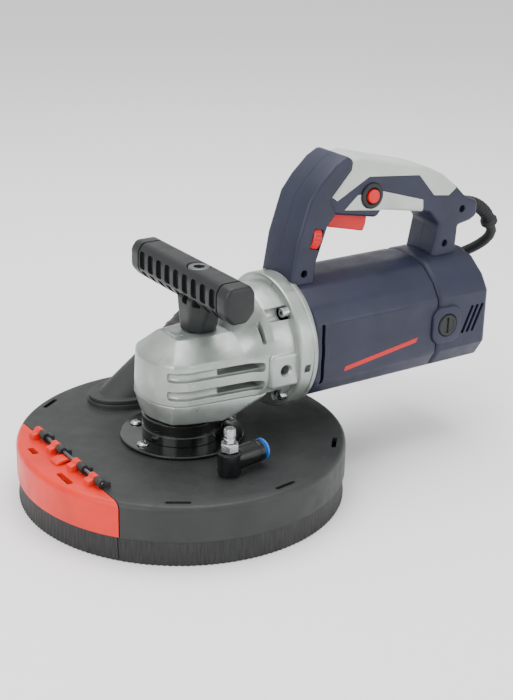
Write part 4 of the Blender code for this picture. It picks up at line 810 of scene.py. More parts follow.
def skin_along(ring: bpy.types.Object, rows: Sequence[tuple[Vector, Vector, float]]) -> bpy.types.Object:
    """Extrudes a filled circle along a line that lies in a plane of constant Y.

    Args:
        ring: The circle, at the world's origin.
        rows: Place, direction and radius of each section.

    Returns:
        The same object with its skin made.
    """
    count = len(ring.data.vertices)
    bpy.ops.object.mode_set(mode="EDIT")
    bpy.ops.mesh.select_all(action="SELECT")
    for _ in rows[1:]:
        bpy.ops.mesh.extrude_region_move()
    bpy.ops.mesh.select_all(action="SELECT")
    bpy.ops.object.mode_set(mode="OBJECT")
    vertices = ring.data.vertices
    side = Vector((0, 1, 0))
    for number, (place, along, radius) in enumerate(rows):
        up = along.cross(side).normalized()
        for i in range(count):
            angle = i * math.tau / count
            vertices[number * count + i].co = place + radius * (side * math.cos(angle) + up * math.sin(angle))
    bpy.ops.object.mode_set(mode="EDIT")
    bpy.ops.mesh.select_all(action="SELECT")
    bpy.ops.mesh.normals_make_consistent(inside=False)
    bpy.ops.object.mode_set(mode="OBJECT")
    return ring


@dataclass
class Shroud:
    """The dust shroud: shell, hinged edge, bristles, dust port, flange plate and clamp collar."""

    radius: float = 0.1225
    top: float = 0.045
    dish: float = 0.042
    skin: float = 0.0040
    hole: float = 0.030
    wall_bottom: float = 0.018
    chord: float = 0.095
    seam: float = 0.0006
    hinge_height: float = 0.0488
    knuckle_places: tuple[float, ...] = (0.045, 0.017, -0.016, -0.042)
    knuckle_width: float = 0.0072
    screw_circle: float = 0.037
    screw_angles: tuple[float, ...] = (128, 189, 308, 9)
    rim_slot_angles: tuple[float, ...] = (-122, -82, -41, 123)
    port_foot: tuple[float, float] = (0.005, 0.080)
    port_tilt: float = 36.0
    port_radius: float = 0.021
    port_length: float = 0.078
    tufts: int = 300

    def shell_profile(self) -> list[tuple[float, float]]:
        """Half section of the shell with a rolled rim and a groove for the bristles."""
        out, top, low = self.radius, self.top, self.wall_bottom
        inside = out - self.skin
        rim = []
        for number in range(7):
            angle = math.radians(84 - number * 14)
            rim.append((out - 0.0042 + 0.0042 * math.cos(angle), top - 0.0052 + 0.0048 * math.sin(angle)))
        return [
            (self.hole, self.dish),
            (0.0485, self.dish),
            (0.0505, self.dish + 0.0006),
            (0.1085, top - 0.0006),
            (0.1115, top - 0.0004),
            *rim,
            (out, low + 0.0006),
            (out - 0.0006, low),
            (out - 0.0013, low),
            (out - 0.0013, low + 0.007),
            (out - 0.0043, low + 0.007),
            (out - 0.0043, low),
            (out - 0.0056, low),
            (out - 0.0056, low + 0.011),
            (inside, low + 0.014),
            (inside, top - self.skin),
            (0.049, self.dish - self.skin),
            (self.hole, self.dish - self.skin),
        ]

    def knuckle(self, place: float, side: int) -> Piece:
        """A hinge barrel with its leg; side is -1 for the hinged edge and +1 for the shell."""
        radius, leg = 0.0030, 0.0068
        arc = [math.radians(-115 + 287 * i / 20) for i in range(21)]
        outline = [(radius * math.cos(a), radius * math.sin(a)) for a in arc]
        foot = -0.0055
        outline += [(-leg + 0.0004, -0.0003), (-leg, -0.0008), (-leg, foot), (outline[0][0], foot)]
        outline = [(-self.chord - side * u, self.hinge_height + v) for u, v in outline]
        half = self.knuckle_width / 2
        return Piece.plate(outline, Axis.Y, place - half, place + half).bevel(0.0004, 2, 50)

    def side(self, limit: float, high: bool) -> Piece:
        """Everything on one side of a line across the shroud."""
        far = 0.15 if high else -0.15
        return Piece.block((far, -0.15, -0.02), (limit, 0.15, 0.07))

    def slot(self, angle: float) -> Piece:
        """A cutter for one narrow slot near the rim, with round ends."""
        x, y = polar(self.radius - 0.0085, angle)
        half, run = 0.00175, 0.0072
        outline = [
            (half * math.cos(a), run + half * math.sin(a)) for a in (math.radians(18 * i) for i in range(11))
        ]
        outline += [(-u, -v) for u, v in outline]
        return Piece.plate(
            outline, Axis.Z, self.top - 0.0070, self.top + 0.01
        ).stand((x, y, 0), (0, 0, angle))

    def port_line(self) -> tuple[Vector, tuple[float, float, float]]:
        """The port's foot and the turn that lays local Z along it."""
        return Vector((*self.port_foot, 0.047)), (0, 90 - self.port_tilt, 0)

    def oval(self, extra: float) -> list[tuple[float, float]]:
        """The outline that the tilted port leaves on a level plane, with a margin."""
        long_half = self.port_radius / math.sin(math.radians(self.port_tilt)) + extra
        short_half = self.port_radius + extra
        x, y = self.port_foot
        turns = [i * math.tau / 72 for i in range(72)]
        return [(x + long_half * math.cos(a), y + short_half * math.sin(a)) for a in turns]

    def shell(self) -> None:
        """The fixed part of the shell."""
        shell = Piece.lathe(self.shell_profile(), FINE)
        shell.keep(self.side(-self.chord + self.seam / 2, True))
        for place in self.knuckle_places:
            shell.add(self.knuckle(place - self.knuckle_width - 2 * GAP, 1))
        shell.add(Piece.plate(self.oval(0.0050), Axis.Z, self.dish - 0.0024, 0.047).bevel(0.0008, 2, 50))
        foot, turn = self.port_line()
        shell.cut(Piece.bar(self.port_radius - 0.0025, -0.045, 0.05, foot, turn, 72))
        shell.cut(*[self.slot(angle) for angle in self.rim_slot_angles])
        shell.cut(Piece.bar(0.0015, -0.06, 0.06, (-self.chord, 0, self.hinge_height), (90, 0, 0), SMALL))
        shell.cut(Piece.bar(0.0039, 0.02, 0.06, (-0.008, -0.078, 0), sides=SMALL))
        for angle in self.screw_angles:
            shell.cut(Piece.bar(0.0024, 0.02, 0.06, (*polar(self.screw_circle, angle), 0), sides=SMALL))
        shell.finish("shroud_shell", "frame", SHROUD_ABS, "shroud")
        pin = Piece.bar(
            0.0012, -0.0543, 0.0501, (-self.chord, 0, self.hinge_height), (-90, 0, 0), 24
        ).bevel(0.0003, 2, 60)
        pin.finish("hinge_rod", "frame", BARE_STEEL, "hinge_pin")

    def edge(self) -> None:
        """The red edge that lifts so the wheel can reach a wall, with its pull tab."""
        edge = Piece.lathe(self.shell_profile(), FINE)
        edge.keep(self.side(-self.chord - self.seam / 2, False))
        for place in self.knuckle_places:
            edge.add(self.knuckle(place, -1))
        top, half = self.top, 0.005
        side = [
            (-0.011, -0.001),
            (-0.011, 0.0008),
            (-0.006, 0.0026),
            (0.0018, 0.0026),
            (0.0018, 0.0008),
            (-0.002, 0.0009),
        ]
        tab = Piece.plate(
            [(-self.chord + u, top + v) for u, v in side], Axis.Y, -half, half
        ).bevel(0.0004, 2, 30)
        edge.add(tab)
        rod = (-self.chord, 0, self.hinge_height)
        edge.cut(
            Piece.bar(0.0018, -0.010, 0.010, rod, (90, 0, 0), SMALL),
            Piece.bar(0.0015, -0.06, 0.06, rod, (90, 0, 0), SMALL),
        )
        for low, high in ((0.020, 0.031), (-0.035, -0.016)):
            edge.cut(Piece.block((-0.1118, low, 0.0405), (-0.1072, high, 0.06)).bevel(0.0012, 3, 60))
        edge.finish("lifting_edge", "shroud_edge", RED_PP, "edge_flap")

    def bristles(self) -> None:
        """The two runs of bristles, fanned out in tufts and slightly uneven at the floor."""
        outer = self.radius - 0.0013 - GAP
        inner = outer - 0.0024
        root, low = self.wall_bottom + 0.007 - GAP, self.wall_bottom
        profile = [(inner, root), (outer, root), (outer, low - 0.001)]
        levels = [0.013, 0.009, 0.005, 0.0]
        profile += [(outer + 0.0012 * (1 - z / 0.017) ** 1.5, z) for z in levels]
        profile += [(inner - 0.0012 * (1 - z / 0.017) ** 1.5, z) for z in reversed(levels)]
        profile.append((inner, low - 0.001))
        for name, body, node, limit, high in (
            ("bristle_ring", "frame", "brush_skirt", -self.chord + self.seam / 2, True),
            ("bristle_edge", "shroud_edge", "flap_brush", -self.chord - self.seam / 2, False),
        ):
            ring = Piece.lathe(profile, self.tufts * 2)
            for vertex in ring.obj.data.vertices:
                x, y, z = vertex.co
                free = max(0.0, 1 - z / 0.016)
                angle = math.atan2(y, x) * self.tufts
                wave = math.cos(angle) * 0.55 + math.cos(angle * 0.37 + 1.3) * 0.45
                reach = math.hypot(x, y)
                middle = (inner + outer) / 2
                change = -abs(wave) * 0.0006 * free * (1 if reach > middle else -1)
                vertex.co.x *= 1 + change / reach
                vertex.co.y *= 1 + change / reach
                if z < 0.001:
                    vertex.co.z += 0.0004 * abs(wave)
            ring.keep(self.side(limit, high))
            ring.finish(name, body, BRISTLE, node, angle=60)

    def port(self) -> None:
        """The slanted hose spigot with its oval foot, grip rings and end bead."""
        foot, turn = self.port_line()
        radius, length = self.port_radius, self.port_length
        profile = [(0, -0.045), (radius, -0.045), (radius, 0.026)]
        for number in range(4):
            start = 0.030 + number * 0.009
            profile += [
                (radius, start),
                (radius - 0.0006, start + 0.0010),
                (radius - 0.0006, start + 0.0060),
                (radius, start + 0.0070),
            ]
        profile += [
            (radius, length - 0.0068),
            (radius + 0.0012, length - 0.006),
            (radius + 0.0012, length - 0.003),
            (radius - 0.0002, length - 0.0004),
            (radius - 0.0010, length),
            (0, length),
        ]
        port = Piece.lathe(profile, 96, foot, turn)
        seat = 0.047 + GAP
        port.add(Piece.plate(self.oval(0.0040), Axis.Z, seat - 0.002, seat + 0.003).bevel(0.0008, 3, 50))
        port.cut(Piece.bar(radius - 0.0025, -0.06, length + 0.01, foot, turn, 96))
        port.cut(Piece.block((-0.06, 0.03, -0.01), (0.08, 0.13, seat)))
        port.finish("dust_spigot", "frame", SHROUD_ABS, "dust_port")

    def plate(self) -> None:
        """The enamelled flange plate with its screws, and the clamp collar above it."""
        low, high = self.dish + GAP, self.dish + GAP + 0.0024
        plate = Piece.lathe(
            [
                (0.020, low),
                (0.0454, low),
                (0.046, low + 0.0006),
                (0.046, high - 0.0006),
                (0.0454, high),
                (0.020, high),
            ],
            128,
        )
        for angle in self.screw_angles:
            plate.cut(Piece.bar(0.0024, 0.02, 0.06, (*polar(self.screw_circle, angle), 0), sides=SMALL))
        plate.finish("flange_disc", "frame", BLACK_ENAMEL, "flange_plate")
        for number, angle in enumerate(self.screw_angles, 1):
            place = (*polar(self.screw_circle, angle), high + GAP)
            dome = [
                (0.0046 * math.cos(a), 0.0004 + 0.0018 * math.sin(a))
                for a in (math.radians(15 * i) for i in range(7))
            ]
            profile = [*dome[:-1], (0, 0.0022), (0, -0.0077), (0.0021, -0.0077), (0.0021, 0.0), (0.0046, 0.0)]
            screw = Piece.lathe(profile, 40, place)
            for turn in (20, 110):
                screw.cut(
                    Piece.block(
                        (-0.0023, -0.0005, 0.0010), (0.0023, 0.0005, 0.01), place, (0, 0, turn + angle)
                    )
                )
            screw.finish(f"flange_screw_{number}", "frame", ZINC_STEEL, f"plate_screw_{number}")
        bottom, top, bore, out = high + GAP, 0.062, 0.0248, 0.030
        collar = Piece.lathe(
            [
                (bore, bottom),
                (out, bottom),
                (out, 0.0515),
                (out - 0.0006, 0.0521),
                (out - 0.0006, 0.0545),
                (out, 0.0551),
                (out, top - 0.0010),
                (out - 0.0010, top),
                (bore, top),
            ],
            128,
        )
        lug_low = bottom + 0.0022 + GAP
        collar.add(
            Piece.block((out - 0.003, -0.008, lug_low), (out + 0.011, 0.008, top - 0.003)).bevel(0.0012, 3)
        )
        collar.cut(Piece.block((0.02, -0.0015, 0.03), (0.06, 0.0015, 0.08)))
        middle = (out + 0.0060, 0, (lug_low + top - 0.003) / 2)
        collar.cut(Piece.bar(0.0028, -0.02, 0.02, middle, (90, 0, 0), SMALL))
        collar.finish("clamping_collar", "frame", BLACK_ENAMEL, "clamp_collar")
        profile = [
            (0, 0.0135),
            (0.0036, 0.0135),
            (0.0042, 0.0129),
            (0.0042, 0.0083),
            (0.0025, 0.0083),
            (0.0025, -0.0110),
            (0, -0.0110),
        ]
        screw = Piece.lathe(profile, 32, middle, (90, 0, 0)).cut(
            Piece.bar(0.0022, 0.0110, 0.02, middle, (90, 0, 0), 6)
        )
        screw.finish("collar_bolt", "frame", ZINC_STEEL, "collar_screw")

    def build(self) -> None:
        """Makes every piece."""
        self.shell()
        self.edge()
        self.bristles()
        self.port()
        self.plate()


@dataclass
class WaterFitting:
    """The black elbow that swivels on a hollow bolt, with a needle and a push-in socket."""

    place: tuple[float, float] = (-0.008, -0.078)
    arm_height: float = 0.0545
    reach: float = 0.028
    arm_turn: float = 8.0

    def build(self) -> None:
        """Makes the bolt, elbow, needle and release ring."""
        x, y = self.place
        start, along = (x, y, self.arm_height), (0, 90, self.arm_turn)
        low, high = 0.0452, 0.0620
        body = Piece.lathe(
            [
                (0, high),
                (0.0073, high),
                (0.0083, high - 0.001),
                (0.0083, low + 0.0006),
                (0.0077, low),
                (0, low),
            ],
            ROUND,
            (x, y, 0),
        )
        reach = self.reach
        arm_profile = [
            (0, 0),
            (0.0080, 0),
            (0.0080, reach - 0.006),
            (0.0076, reach - 0.0054),
            (0.0076, reach - 0.0040),
            (0.0080, reach - 0.0034),
            (0.0080, reach - 0.0006),
            (0.0074, reach),
            (0, reach),
        ]
        body.add(Piece.lathe(arm_profile, ROUND, start, along))
        seat = 0.0065
        socket = [
            (0, reach + 0.01),
            (seat, reach + 0.01),
            (seat, reach - 0.006),
            (0.0050, reach - 0.006),
            (0.0050, 0.0056),
            (0, 0.0056),
        ]
        body.cut(Piece.lathe(socket, 48, start, along), Piece.bar(0.0039, 0, 0.1, (x, y, 0), sides=48))
        body.finish("elbow_moulding", "elbow", GLOSS_NYLON, "elbow_body")
        ring = [
            (0.0050, reach - 0.0040),
            (0.0062, reach - 0.0040),
            (0.0062, reach + 0.0018),
            (0.0080, reach + 0.0018),
            (0.0080, reach + 0.0030),
            (0.0074, reach + 0.0036),
            (0.0054, reach + 0.0036),
            (0.0050, reach + 0.0032),
        ]
        Piece.lathe(ring, ROUND, start, along).finish(
            "push_ring", "release_ring", BLUE_ACETAL, "release_ring"
        )
        hex_low = 0.0628
        hex_high = hex_low + 0.0060
        bolt = Piece.bar(0.0068, hex_low, hex_high, (x, y, 0), sides=6)
        crown = Piece.lathe(
            [(0, hex_high), (0.0056, hex_high), (0.0069, hex_high - 0.0012), (0.0069, hex_low), (0, hex_low)],
            48,
            (x, y, 0),
        )
        bolt.keep(crown)
        bolt.add(Piece.bar(0.0036, 0.036, hex_low + 0.001, (x, y, 0), sides=SMALL))
        bolt.cut(Piece.bar(0.0021, 0.050, 0.09, (x, y, 0), sides=SMALL))
        bolt.finish("hollow_bolt", "frame", ZINC_STEEL, "banjo_bolt")
        knob = hex_high + GAP
        profile = [
            (0, knob + 0.0105),
            (0.0036, knob + 0.0105),
            (0.0042, knob + 0.0098),
            (0.0042, knob + 0.0050),
            (0.0034, knob + 0.0044),
            (0.0034, knob + 0.0034),
            (0.0042, knob + 0.0028),
            (0.0042, knob),
            (0.0017, knob),
            (0.0017, 0.0520),
            (0.0006, 0.0505),
            (0, 0.0505),
        ]
        needle = Piece.lathe(profile, 48, (x, y, 0))
        for number in range(18):
            needle.cut(
                Piece.bar(
                    0.0003,
                    knob + 0.0054,
                    knob + 0.0094,
                    (x + polar(0.0043, number * 20)[0], y + polar(0.0043, number * 20)[1], 0),
                    sides=8,
                )
            )
        needle.cut(
            Piece.block((-0.006, -0.0005, knob + 0.0092), (0.006, 0.0005, 0.09), (x, y, 0), (0, 0, 20))
        )
        needle.finish("needle_knob", "flow_needle", ZINC_STEEL, "flow_needle")


@dataclass
class Wheel:
    """The diamond cup wheel with its flange and clamping nut."""

    radius: float = 0.090
    seat: float = 0.018
    face: float = 0.001
    segments: int = 12

    def build(self) -> None:
        """Makes the cup, its segments, the inner flange and the nut."""
        seat, face, out = self.seat, self.face, self.radius
        profile = [
            (0.0111, seat),
            (0.040, seat),
            (0.058, seat - 0.004),
            (out - 0.006, seat - 0.006),
            (out - 0.001, seat - 0.008),
            (out - 0.001, face + 0.0055),
            (out - 0.022, face + 0.0055),
            (out - 0.022, seat - 0.0095),
            (0.056, seat - 0.0080),
            (0.039, seat - 0.0040),
            (0.0111, seat - 0.0040),
        ]
        cup = Piece.lathe(profile, 120)
        for number in range(8):
            cup.cut(Piece.bar(0.0035, 0.0, 0.04, (*polar(0.049, number * 45 + 22.5), 0), sides=24))
        cup.finish("cup_disc", "spindle_group", BARE_STEEL, "cup_wheel")
        step = 360 / self.segments
        for number in range(self.segments):
            half = step * 0.39
            inner = [polar(out - 0.020, -half + i * half / 5) for i in range(11)]
            outer = [polar(out - 0.0015, half - i * half / 5) for i in range(11)]
            segment = Piece.plate([*inner, *outer], Axis.Z, face, face + 0.0058).bevel(0.0005, 2, 50)
            segment.cut(Piece.block((out - 0.03, -0.0008, -0.01), (out + 0.01, 0.0008, face + 0.0015)))
            segment.stand((0, 0, 0), (0, 0, number * step)).finish(
                f"diamond_segment_{number + 1}", "spindle_group", DIAMOND_BOND
            )
        flange = [
            (0.0073, seat + 0.0070),
            (0.0160, seat + 0.0070),
            (0.0225, seat + 0.0045),
            (0.0225, seat + GAP),
            (0.0108, seat + GAP),
            (0.0108, seat - 0.0030),
            (0.0073, seat - 0.0030),
        ]
        Piece.lathe(flange, ROUND).finish("wheel_flange", "spindle_group", ZINC_STEEL, "inner_flange")
        nut = Piece.lathe(
            [(0.0073, 0.0090), (0.0192, 0.0090), (0.0200, 0.0098), (0.0200, 0.0137), (0.0073, 0.0137)], ROUND
        )
        for number in range(4):
            nut.cut(Piece.bar(0.0025, -0.01, 0.0115, (*polar(0.0145, number * 90), 0), sides=24))
        nut.finish("locking_nut", "spindle_group", BARE_STEEL, "clamp_nut")


@dataclass
class GearHead:
    """The cast gear head with its bearing cover and the spindle lock."""

    seam: float = 0.080
    bottom: float = 0.064
    shoulder: float = 0.110
    top: float = 0.124
    drum: float = 0.046
    flange: float = 0.052
    flange_start: float = 0.070
    flange_end: float = 0.086
    groove_heights: tuple[float, ...] = (0.0875, 0.1015)
    screw_circle: float = 0.0462
    screw_angles: tuple[float, ...] = (45, 135, 225, 315)
    gear_room: float = 0.0285

    def plan(self, extra: float = 0.0) -> list[tuple[float, float]]:
        """The head's outline from above, from its rear left round the nose."""
        near = [
            (0.052, 0.041),
            (-0.014, 0.0335),
            (-0.024, 0.0285),
            (-0.031 - extra, 0.0180),
            (-0.034 - extra, 0.0080),
        ]
        outline = [(x, y + extra) for x, y in near]
        return outline + [(x, -y) for x, y in reversed(outline)]

    def groove(self, side: int, height: float) -> Piece:
        """A cutter for a deep groove along the head's side that turns the corner on to the nose."""
        line = [(0.0450, 0.0400), (-0.0140, 0.0335), (-0.0240, 0.0285), (-0.0278, 0.0235)]
        depth, reach = 0.0042, 0.0100
        inner = [
            (x + (depth if x < -0.02 else 0.0), y - depth * (1.0 if x > -0.02 else 0.6)) for x, y in line
        ]
        outer = [(x - (reach if x < -0.02 else 0.0), y + reach) for x, y in reversed(line)]
        outline = [(x, side * y) for x, y in [*inner, *outer]]
        return Piece.plate(outline, Axis.Z, height - 0.0036, height + 0.0036).bevel(0.0022, 4, 60)

    def pocket(self, side: int, height: float) -> Piece:
        """A cutter that makes the rear of a groove much deeper, clear of the gear's room."""
        line = [
            (0.0450, 0.0420),
            (0.0450, 0.0220),
            (0.0300, 0.0220),
            (0.0140, 0.0276),
            (0.0080, 0.0340),
            (0.0080, 0.0420),
        ]
        outline = [(x, side * y) for x, y in line]
        return Piece.plate(outline, Axis.Z, height - 0.0026, height + 0.0026).bevel(0.0012, 3, 60)

    def screws(self) -> None:
        """The four socket screws that hold the head to the motor, set in round recesses."""
        for number, angle in enumerate(self.screw_angles, 1):
            y, z = polar(self.screw_circle, angle)
            place = (0, y, AXIS_HEIGHT + z)
            profile = [(0, 0.0640), (0.0032, 0.0640), (0.0037, 0.0645), (0.0037, 0.0697), (0, 0.0697)]
            screw = Piece.lathe(profile, 32, place, (0, 90, 0))
            screw.cut(Piece.bar(0.0019, 0.05, 0.0665, place, (0, 90, 0), 6))
            screw.finish(f"head_screw_{number}", "frame", ZINC_STEEL)

    def housing(self) -> None:
        """The main casting."""
        nose = [(x, y, self.seam - 0.01) for x, y in self.plan()]
        nose += [(x, y, self.shoulder) for x, y in self.plan(-0.0012)]
        nose += [(x, side * y, self.top) for x, y in ((-0.012, 0.014), (0.030, 0.019)) for side in (-1, 1)]
        head = Piece.hull(nose).bevel(0.0020, 4, 18)
        rise = [
            (x, y, AXIS_HEIGHT + z)
            for x in (0.052, self.flange_start + 0.008) for y, z in circle(self.drum, 72, SPIN_START)
        ]
        rise += [
            (0.030, side * y, z)
            for y, z in (
                (0.017, self.top - 0.0005), (0.0362, self.shoulder), (0.0362, 0.07)
            ) for side in (-1, 1)
        ]
        head.add(Piece.hull(rise).bevel(0.0015, 3, 25))
        head.cut(Piece.block((-0.1, -0.1, 0.0), (0.0615, 0.1, self.seam)))
        place, turn = (0, 0, AXIS_HEIGHT), (0, 90, 0)
        start, end, out = self.flange_start, self.flange_end, self.flange
        profile = [
            (0, end),
            (out - 0.0012, end),
            (out - 0.0003, end - 0.0005),
            (out, end - 0.0014),
            (out, end - 0.0036),
            (out - 0.0007, end - 0.0042),
            (out - 0.0007, end - 0.0050),
            (out, end - 0.0056),
            (out, start + 0.0016),
            (out - 0.0006, start + 0.0005),
            (out - 0.0018, start),
            (0, start),
        ]
        head.add(Piece.lathe(profile, 144, place, turn))
        for side in (-1, 1):
            pad = Piece.block((0.047, side * 0.030, 0.0835), (0.074, side * 0.0475, 0.1105)).bevel(0.0032, 4)
            head.add(pad)
            rib = Piece.hull(
                [
                    (x, side * y, z)
                    for x, y, z in (
                        (0.028, 0.036, 0.084),
                        (0.028, 0.036, 0.0875),
                        (0.071, 0.044, 0.0835),
                        (0.071, 0.044, 0.0880),
                        (0.028, 0.030, 0.084),
                        (0.071, 0.030, 0.084),
                    )
                ]
            )
            head.add(rib)
        for angle in self.screw_angles:
            y, z = polar(self.screw_circle, angle)
            head.cut(Piece.bar(0.0056, 0.052, 0.0700, (0, y, AXIS_HEIGHT + z), turn, 40))
        head.cut(Piece.bar(self.gear_room, 0.06, AXIS_HEIGHT + 0.005, sides=96))
        head.cut(Piece.bar(0.0125, 0.0165, 0.048, place, turn, 48))
        head.cut(Piece.bar(0.0123, 0.10, 0.1132, sides=48))
        head.cut(Piece.bar(0.0153, 0.0467, 0.07, place, turn, 48))
        head.cut(Piece.bar(out - 0.008, 0.064, 0.10, place, turn, 96))
        for side in (-1, 1):
            head.cut(*[self.groove(side, height) for height in self.groove_heights])
            head.cut(*[self.pocket(side, height) for height in self.groove_heights])
            head.cut(
                Piece.block((0.0440, side * 0.0290, 0.1180), (0.0470, side * 0.06, 0.1330)).bevel(0.0010, 3)
            )
            hole = [
                (0, 0.0345), (0.0036, 0.0345), (0.0036, 0.0458), (0.0052, 0.0476), (0.0052, 0.06), (0, 0.06)
            ]
            head.cut(Piece.lathe(hole, 40, (0.060, 0, 0.097), (-90 * side, 0, 0)))
            head.cut(
                Piece.block((0.0735, side * 0.046, 0.094), (0.0790, side * 0.0555, 0.1000)).bevel(0.0008, 2)
            )
        head.cut(Piece.bar(0.0053, 0.115, 0.14, (BAR_X, 0, 0), sides=SMALL))
        head.cut(Piece.bar(0.0048, 0.0, 0.06, (0, 0, LOCK_PIN_HEIGHT), (-90, 0, 0), 48))
        head.add(
            Piece.block((-0.0105, -0.0070, self.top - 0.004), (-0.0025, 0.0070, self.top + 0.0007)).bevel(
                0.0008, 3
            )
        )
        head.finish("gear_casting", "frame", CAST_ALUMINIUM, "gear_housing", angle=28)

    def cover(self) -> None:
        """The cover below the head that carries the lower bearing, held by screws."""
        points = [(x if x < 0.01 else 0.014, y, self.bottom) for x, y in self.plan(-0.0035)]
        points += [(min(x, 0.050), y, self.seam - GAP) for x, y in self.plan()]
        points += [(0.044, y, 0.0735) for y in (-0.036, 0.036)]
        cover = Piece.hull(points).bevel(0.0016, 3, 18)
        cover.add(Piece.bar(0.0245, 0.0465, self.bottom + 0.003, sides=96))
        cover.cut(Piece.bar(self.gear_room, 0.0690, 0.09, sides=96))
        cover.cut(Piece.bar(0.0215, 0.0517, 0.075, sides=72))
        cover.cut(Piece.bar(0.0120, 0.04, 0.06, sides=48))
        for x, y in ((-0.018, 0.024), (-0.018, -0.024), (0.030, 0.033), (0.030, -0.033)):
            cover.cut(Piece.bar(0.0028, 0.05, 0.072, (x, y, 0), sides=24))
        cover.finish("bearing_carrier", "frame", CAST_ALUMINIUM, "bearing_cover", angle=28)

    def lock(self) -> None:
        """The spindle lock's button, with rings on its head."""
        profile = [
            (0, 0.0465),
            (0.0040, 0.0465),
            (0.0044, 0.0461),
            (0.0056, 0.0461),
            (0.0064, 0.0456),
            (0.0068, 0.0448),
            (0.0068, 0.0425),
            (0.0045, 0.0425),
            (0.0045, 0.0345),
            (0.0020, 0.0345),
            (0.0020, 0.0282),
            (0, 0.0282),
        ]
        Piece.lathe(profile, 48, (0, 0, LOCK_PIN_HEIGHT), (-90, 0, 0)).finish(
            "lock_plunger", "spindle_lock_pin", BLACK_NYLON, "spindle_lock_pin"
        )

    def build(self) -> None:
        """Makes every piece."""
        self.housing()
        self.screws()
        self.cover()
        self.lock()


@dataclass
class CrossHandle:
    """The moulded cross handle on its stem, with grip slots and a bolt down its middle."""

    x: float = BAR_X
    height: float = 0.158
    wide: float = 0.0125
    tall: float = 0.0140
    ends: tuple[float, float] = (-0.056, 0.080)
    slots: int = 9
    pitch: float = 0.0124
    slot_half: float = 0.0039

    def section(self, shrink: float) -> list[tuple[float, float]]:
        """The bar's section with its corners cut off."""
        w, t, c = self.wide - shrink, self.tall - shrink, 0.0060
        side = [(w - c * 0.7, t), (w, t - c), (w, -t + c * 1.3), (w - c * 1.1, -t)]
        outline = side + [(-u, v) for u, v in reversed(side)]
        return [(self.x + u, self.height + v) for u, v in outline]

    def build(self) -> None:
        """Makes the bar with its stem, and the bolt."""
        near, far = self.ends
        bar = Piece.plate(self.section(0.0), Axis.Y, near, far).bevel(0.0030, 5, 20)
        for low, high in ((near + 0.0115, near + 0.0135), (far - 0.0135, far - 0.0115)):
            ring = Piece.block((self.x - 0.05, low, 0.108), (self.x + 0.05, high, 0.208))
            bar.cut(ring.cut(Piece.plate(self.section(0.0010), Axis.Y, near, far).bevel(0.0026, 4, 20)))
        half, base = 0.0135, 0.1243
        turns = [math.pi / 8 + i * math.pi / 4 for i in range(8)]
        levels = (
            (base, 0.95, 0.95), (base + 0.008, 0.90, 0.95), (self.height - self.tall + 0.006, 0.92, 1.75)
        )
        points = [
            (
                self.x + half * wx * math.cos(a) / math.cos(math.pi / 8),
                half * wy * math.sin(a) / math.cos(math.pi / 8),
                z,
            )
            for z, wx, wy in levels for a in turns
        ]
        bar.add(Piece.hull(points).bevel(0.0018, 4, 20))
        middle = (near + far) / 2
        for side in (-1, 1):
            face = self.x + side * self.wide
            for number in range(self.slots):
                y = middle + (number - (self.slots - 1) / 2) * self.pitch
                slot_low = (face - side * 0.0048, y - self.slot_half, self.height - 0.0048)
                slot_high = (face + side * 0.01, y + self.slot_half, self.height + 0.0090)
                slot = Piece.block(slot_low, slot_high).bevel(0.0020, 4)
                notch_low = (face - side * 0.0075, y - self.slot_half + 0.0006, self.height - 0.0128)
                notch_high = (face + side * 0.01, y + self.slot_half - 0.0006, self.height - 0.0066)
                notch = Piece.block(notch_low, notch_high).bevel(0.0014, 3)
                bar.cut(slot, notch)
        bar.cut(Piece.bar(0.0053, 0.1, 0.2, (self.x, 0, 0), sides=SMALL))
        seat = self.height + self.tall - 0.0070
        bar.cut(
            Piece.lathe(
                [
                    (0, seat),
                    (0.0090, seat),
                    (0.0090, seat + 0.006),
                    (0.0100, seat + 0.0071),
                    (0.0100, 0.2),
                    (0, 0.2),
                ],
                48,
                (self.x, 0, 0),
            )
        )
        bar.finish("cross_grip", "frame", BLACK_NYLON, "t_handle", angle=30)
        profile = [
            (0, seat + 0.0065),
            (0.0076, seat + 0.0065),
            (0.0085, seat + 0.0056),
            (0.0085, seat + 0.0003),
            (0.0050, seat + 0.0003),
            (0.0050, 0.116),
            (0, 0.116),
        ]
        bolt = Piece.lathe(profile, 48, (self.x, 0, 0)).cut(
            Piece.bar(0.0046, seat + 0.003, 0.2, (self.x, 0, 0), sides=6)
        )
        bolt.finish("handle_bolt", "frame", BARE_STEEL, "t_handle_bolt")


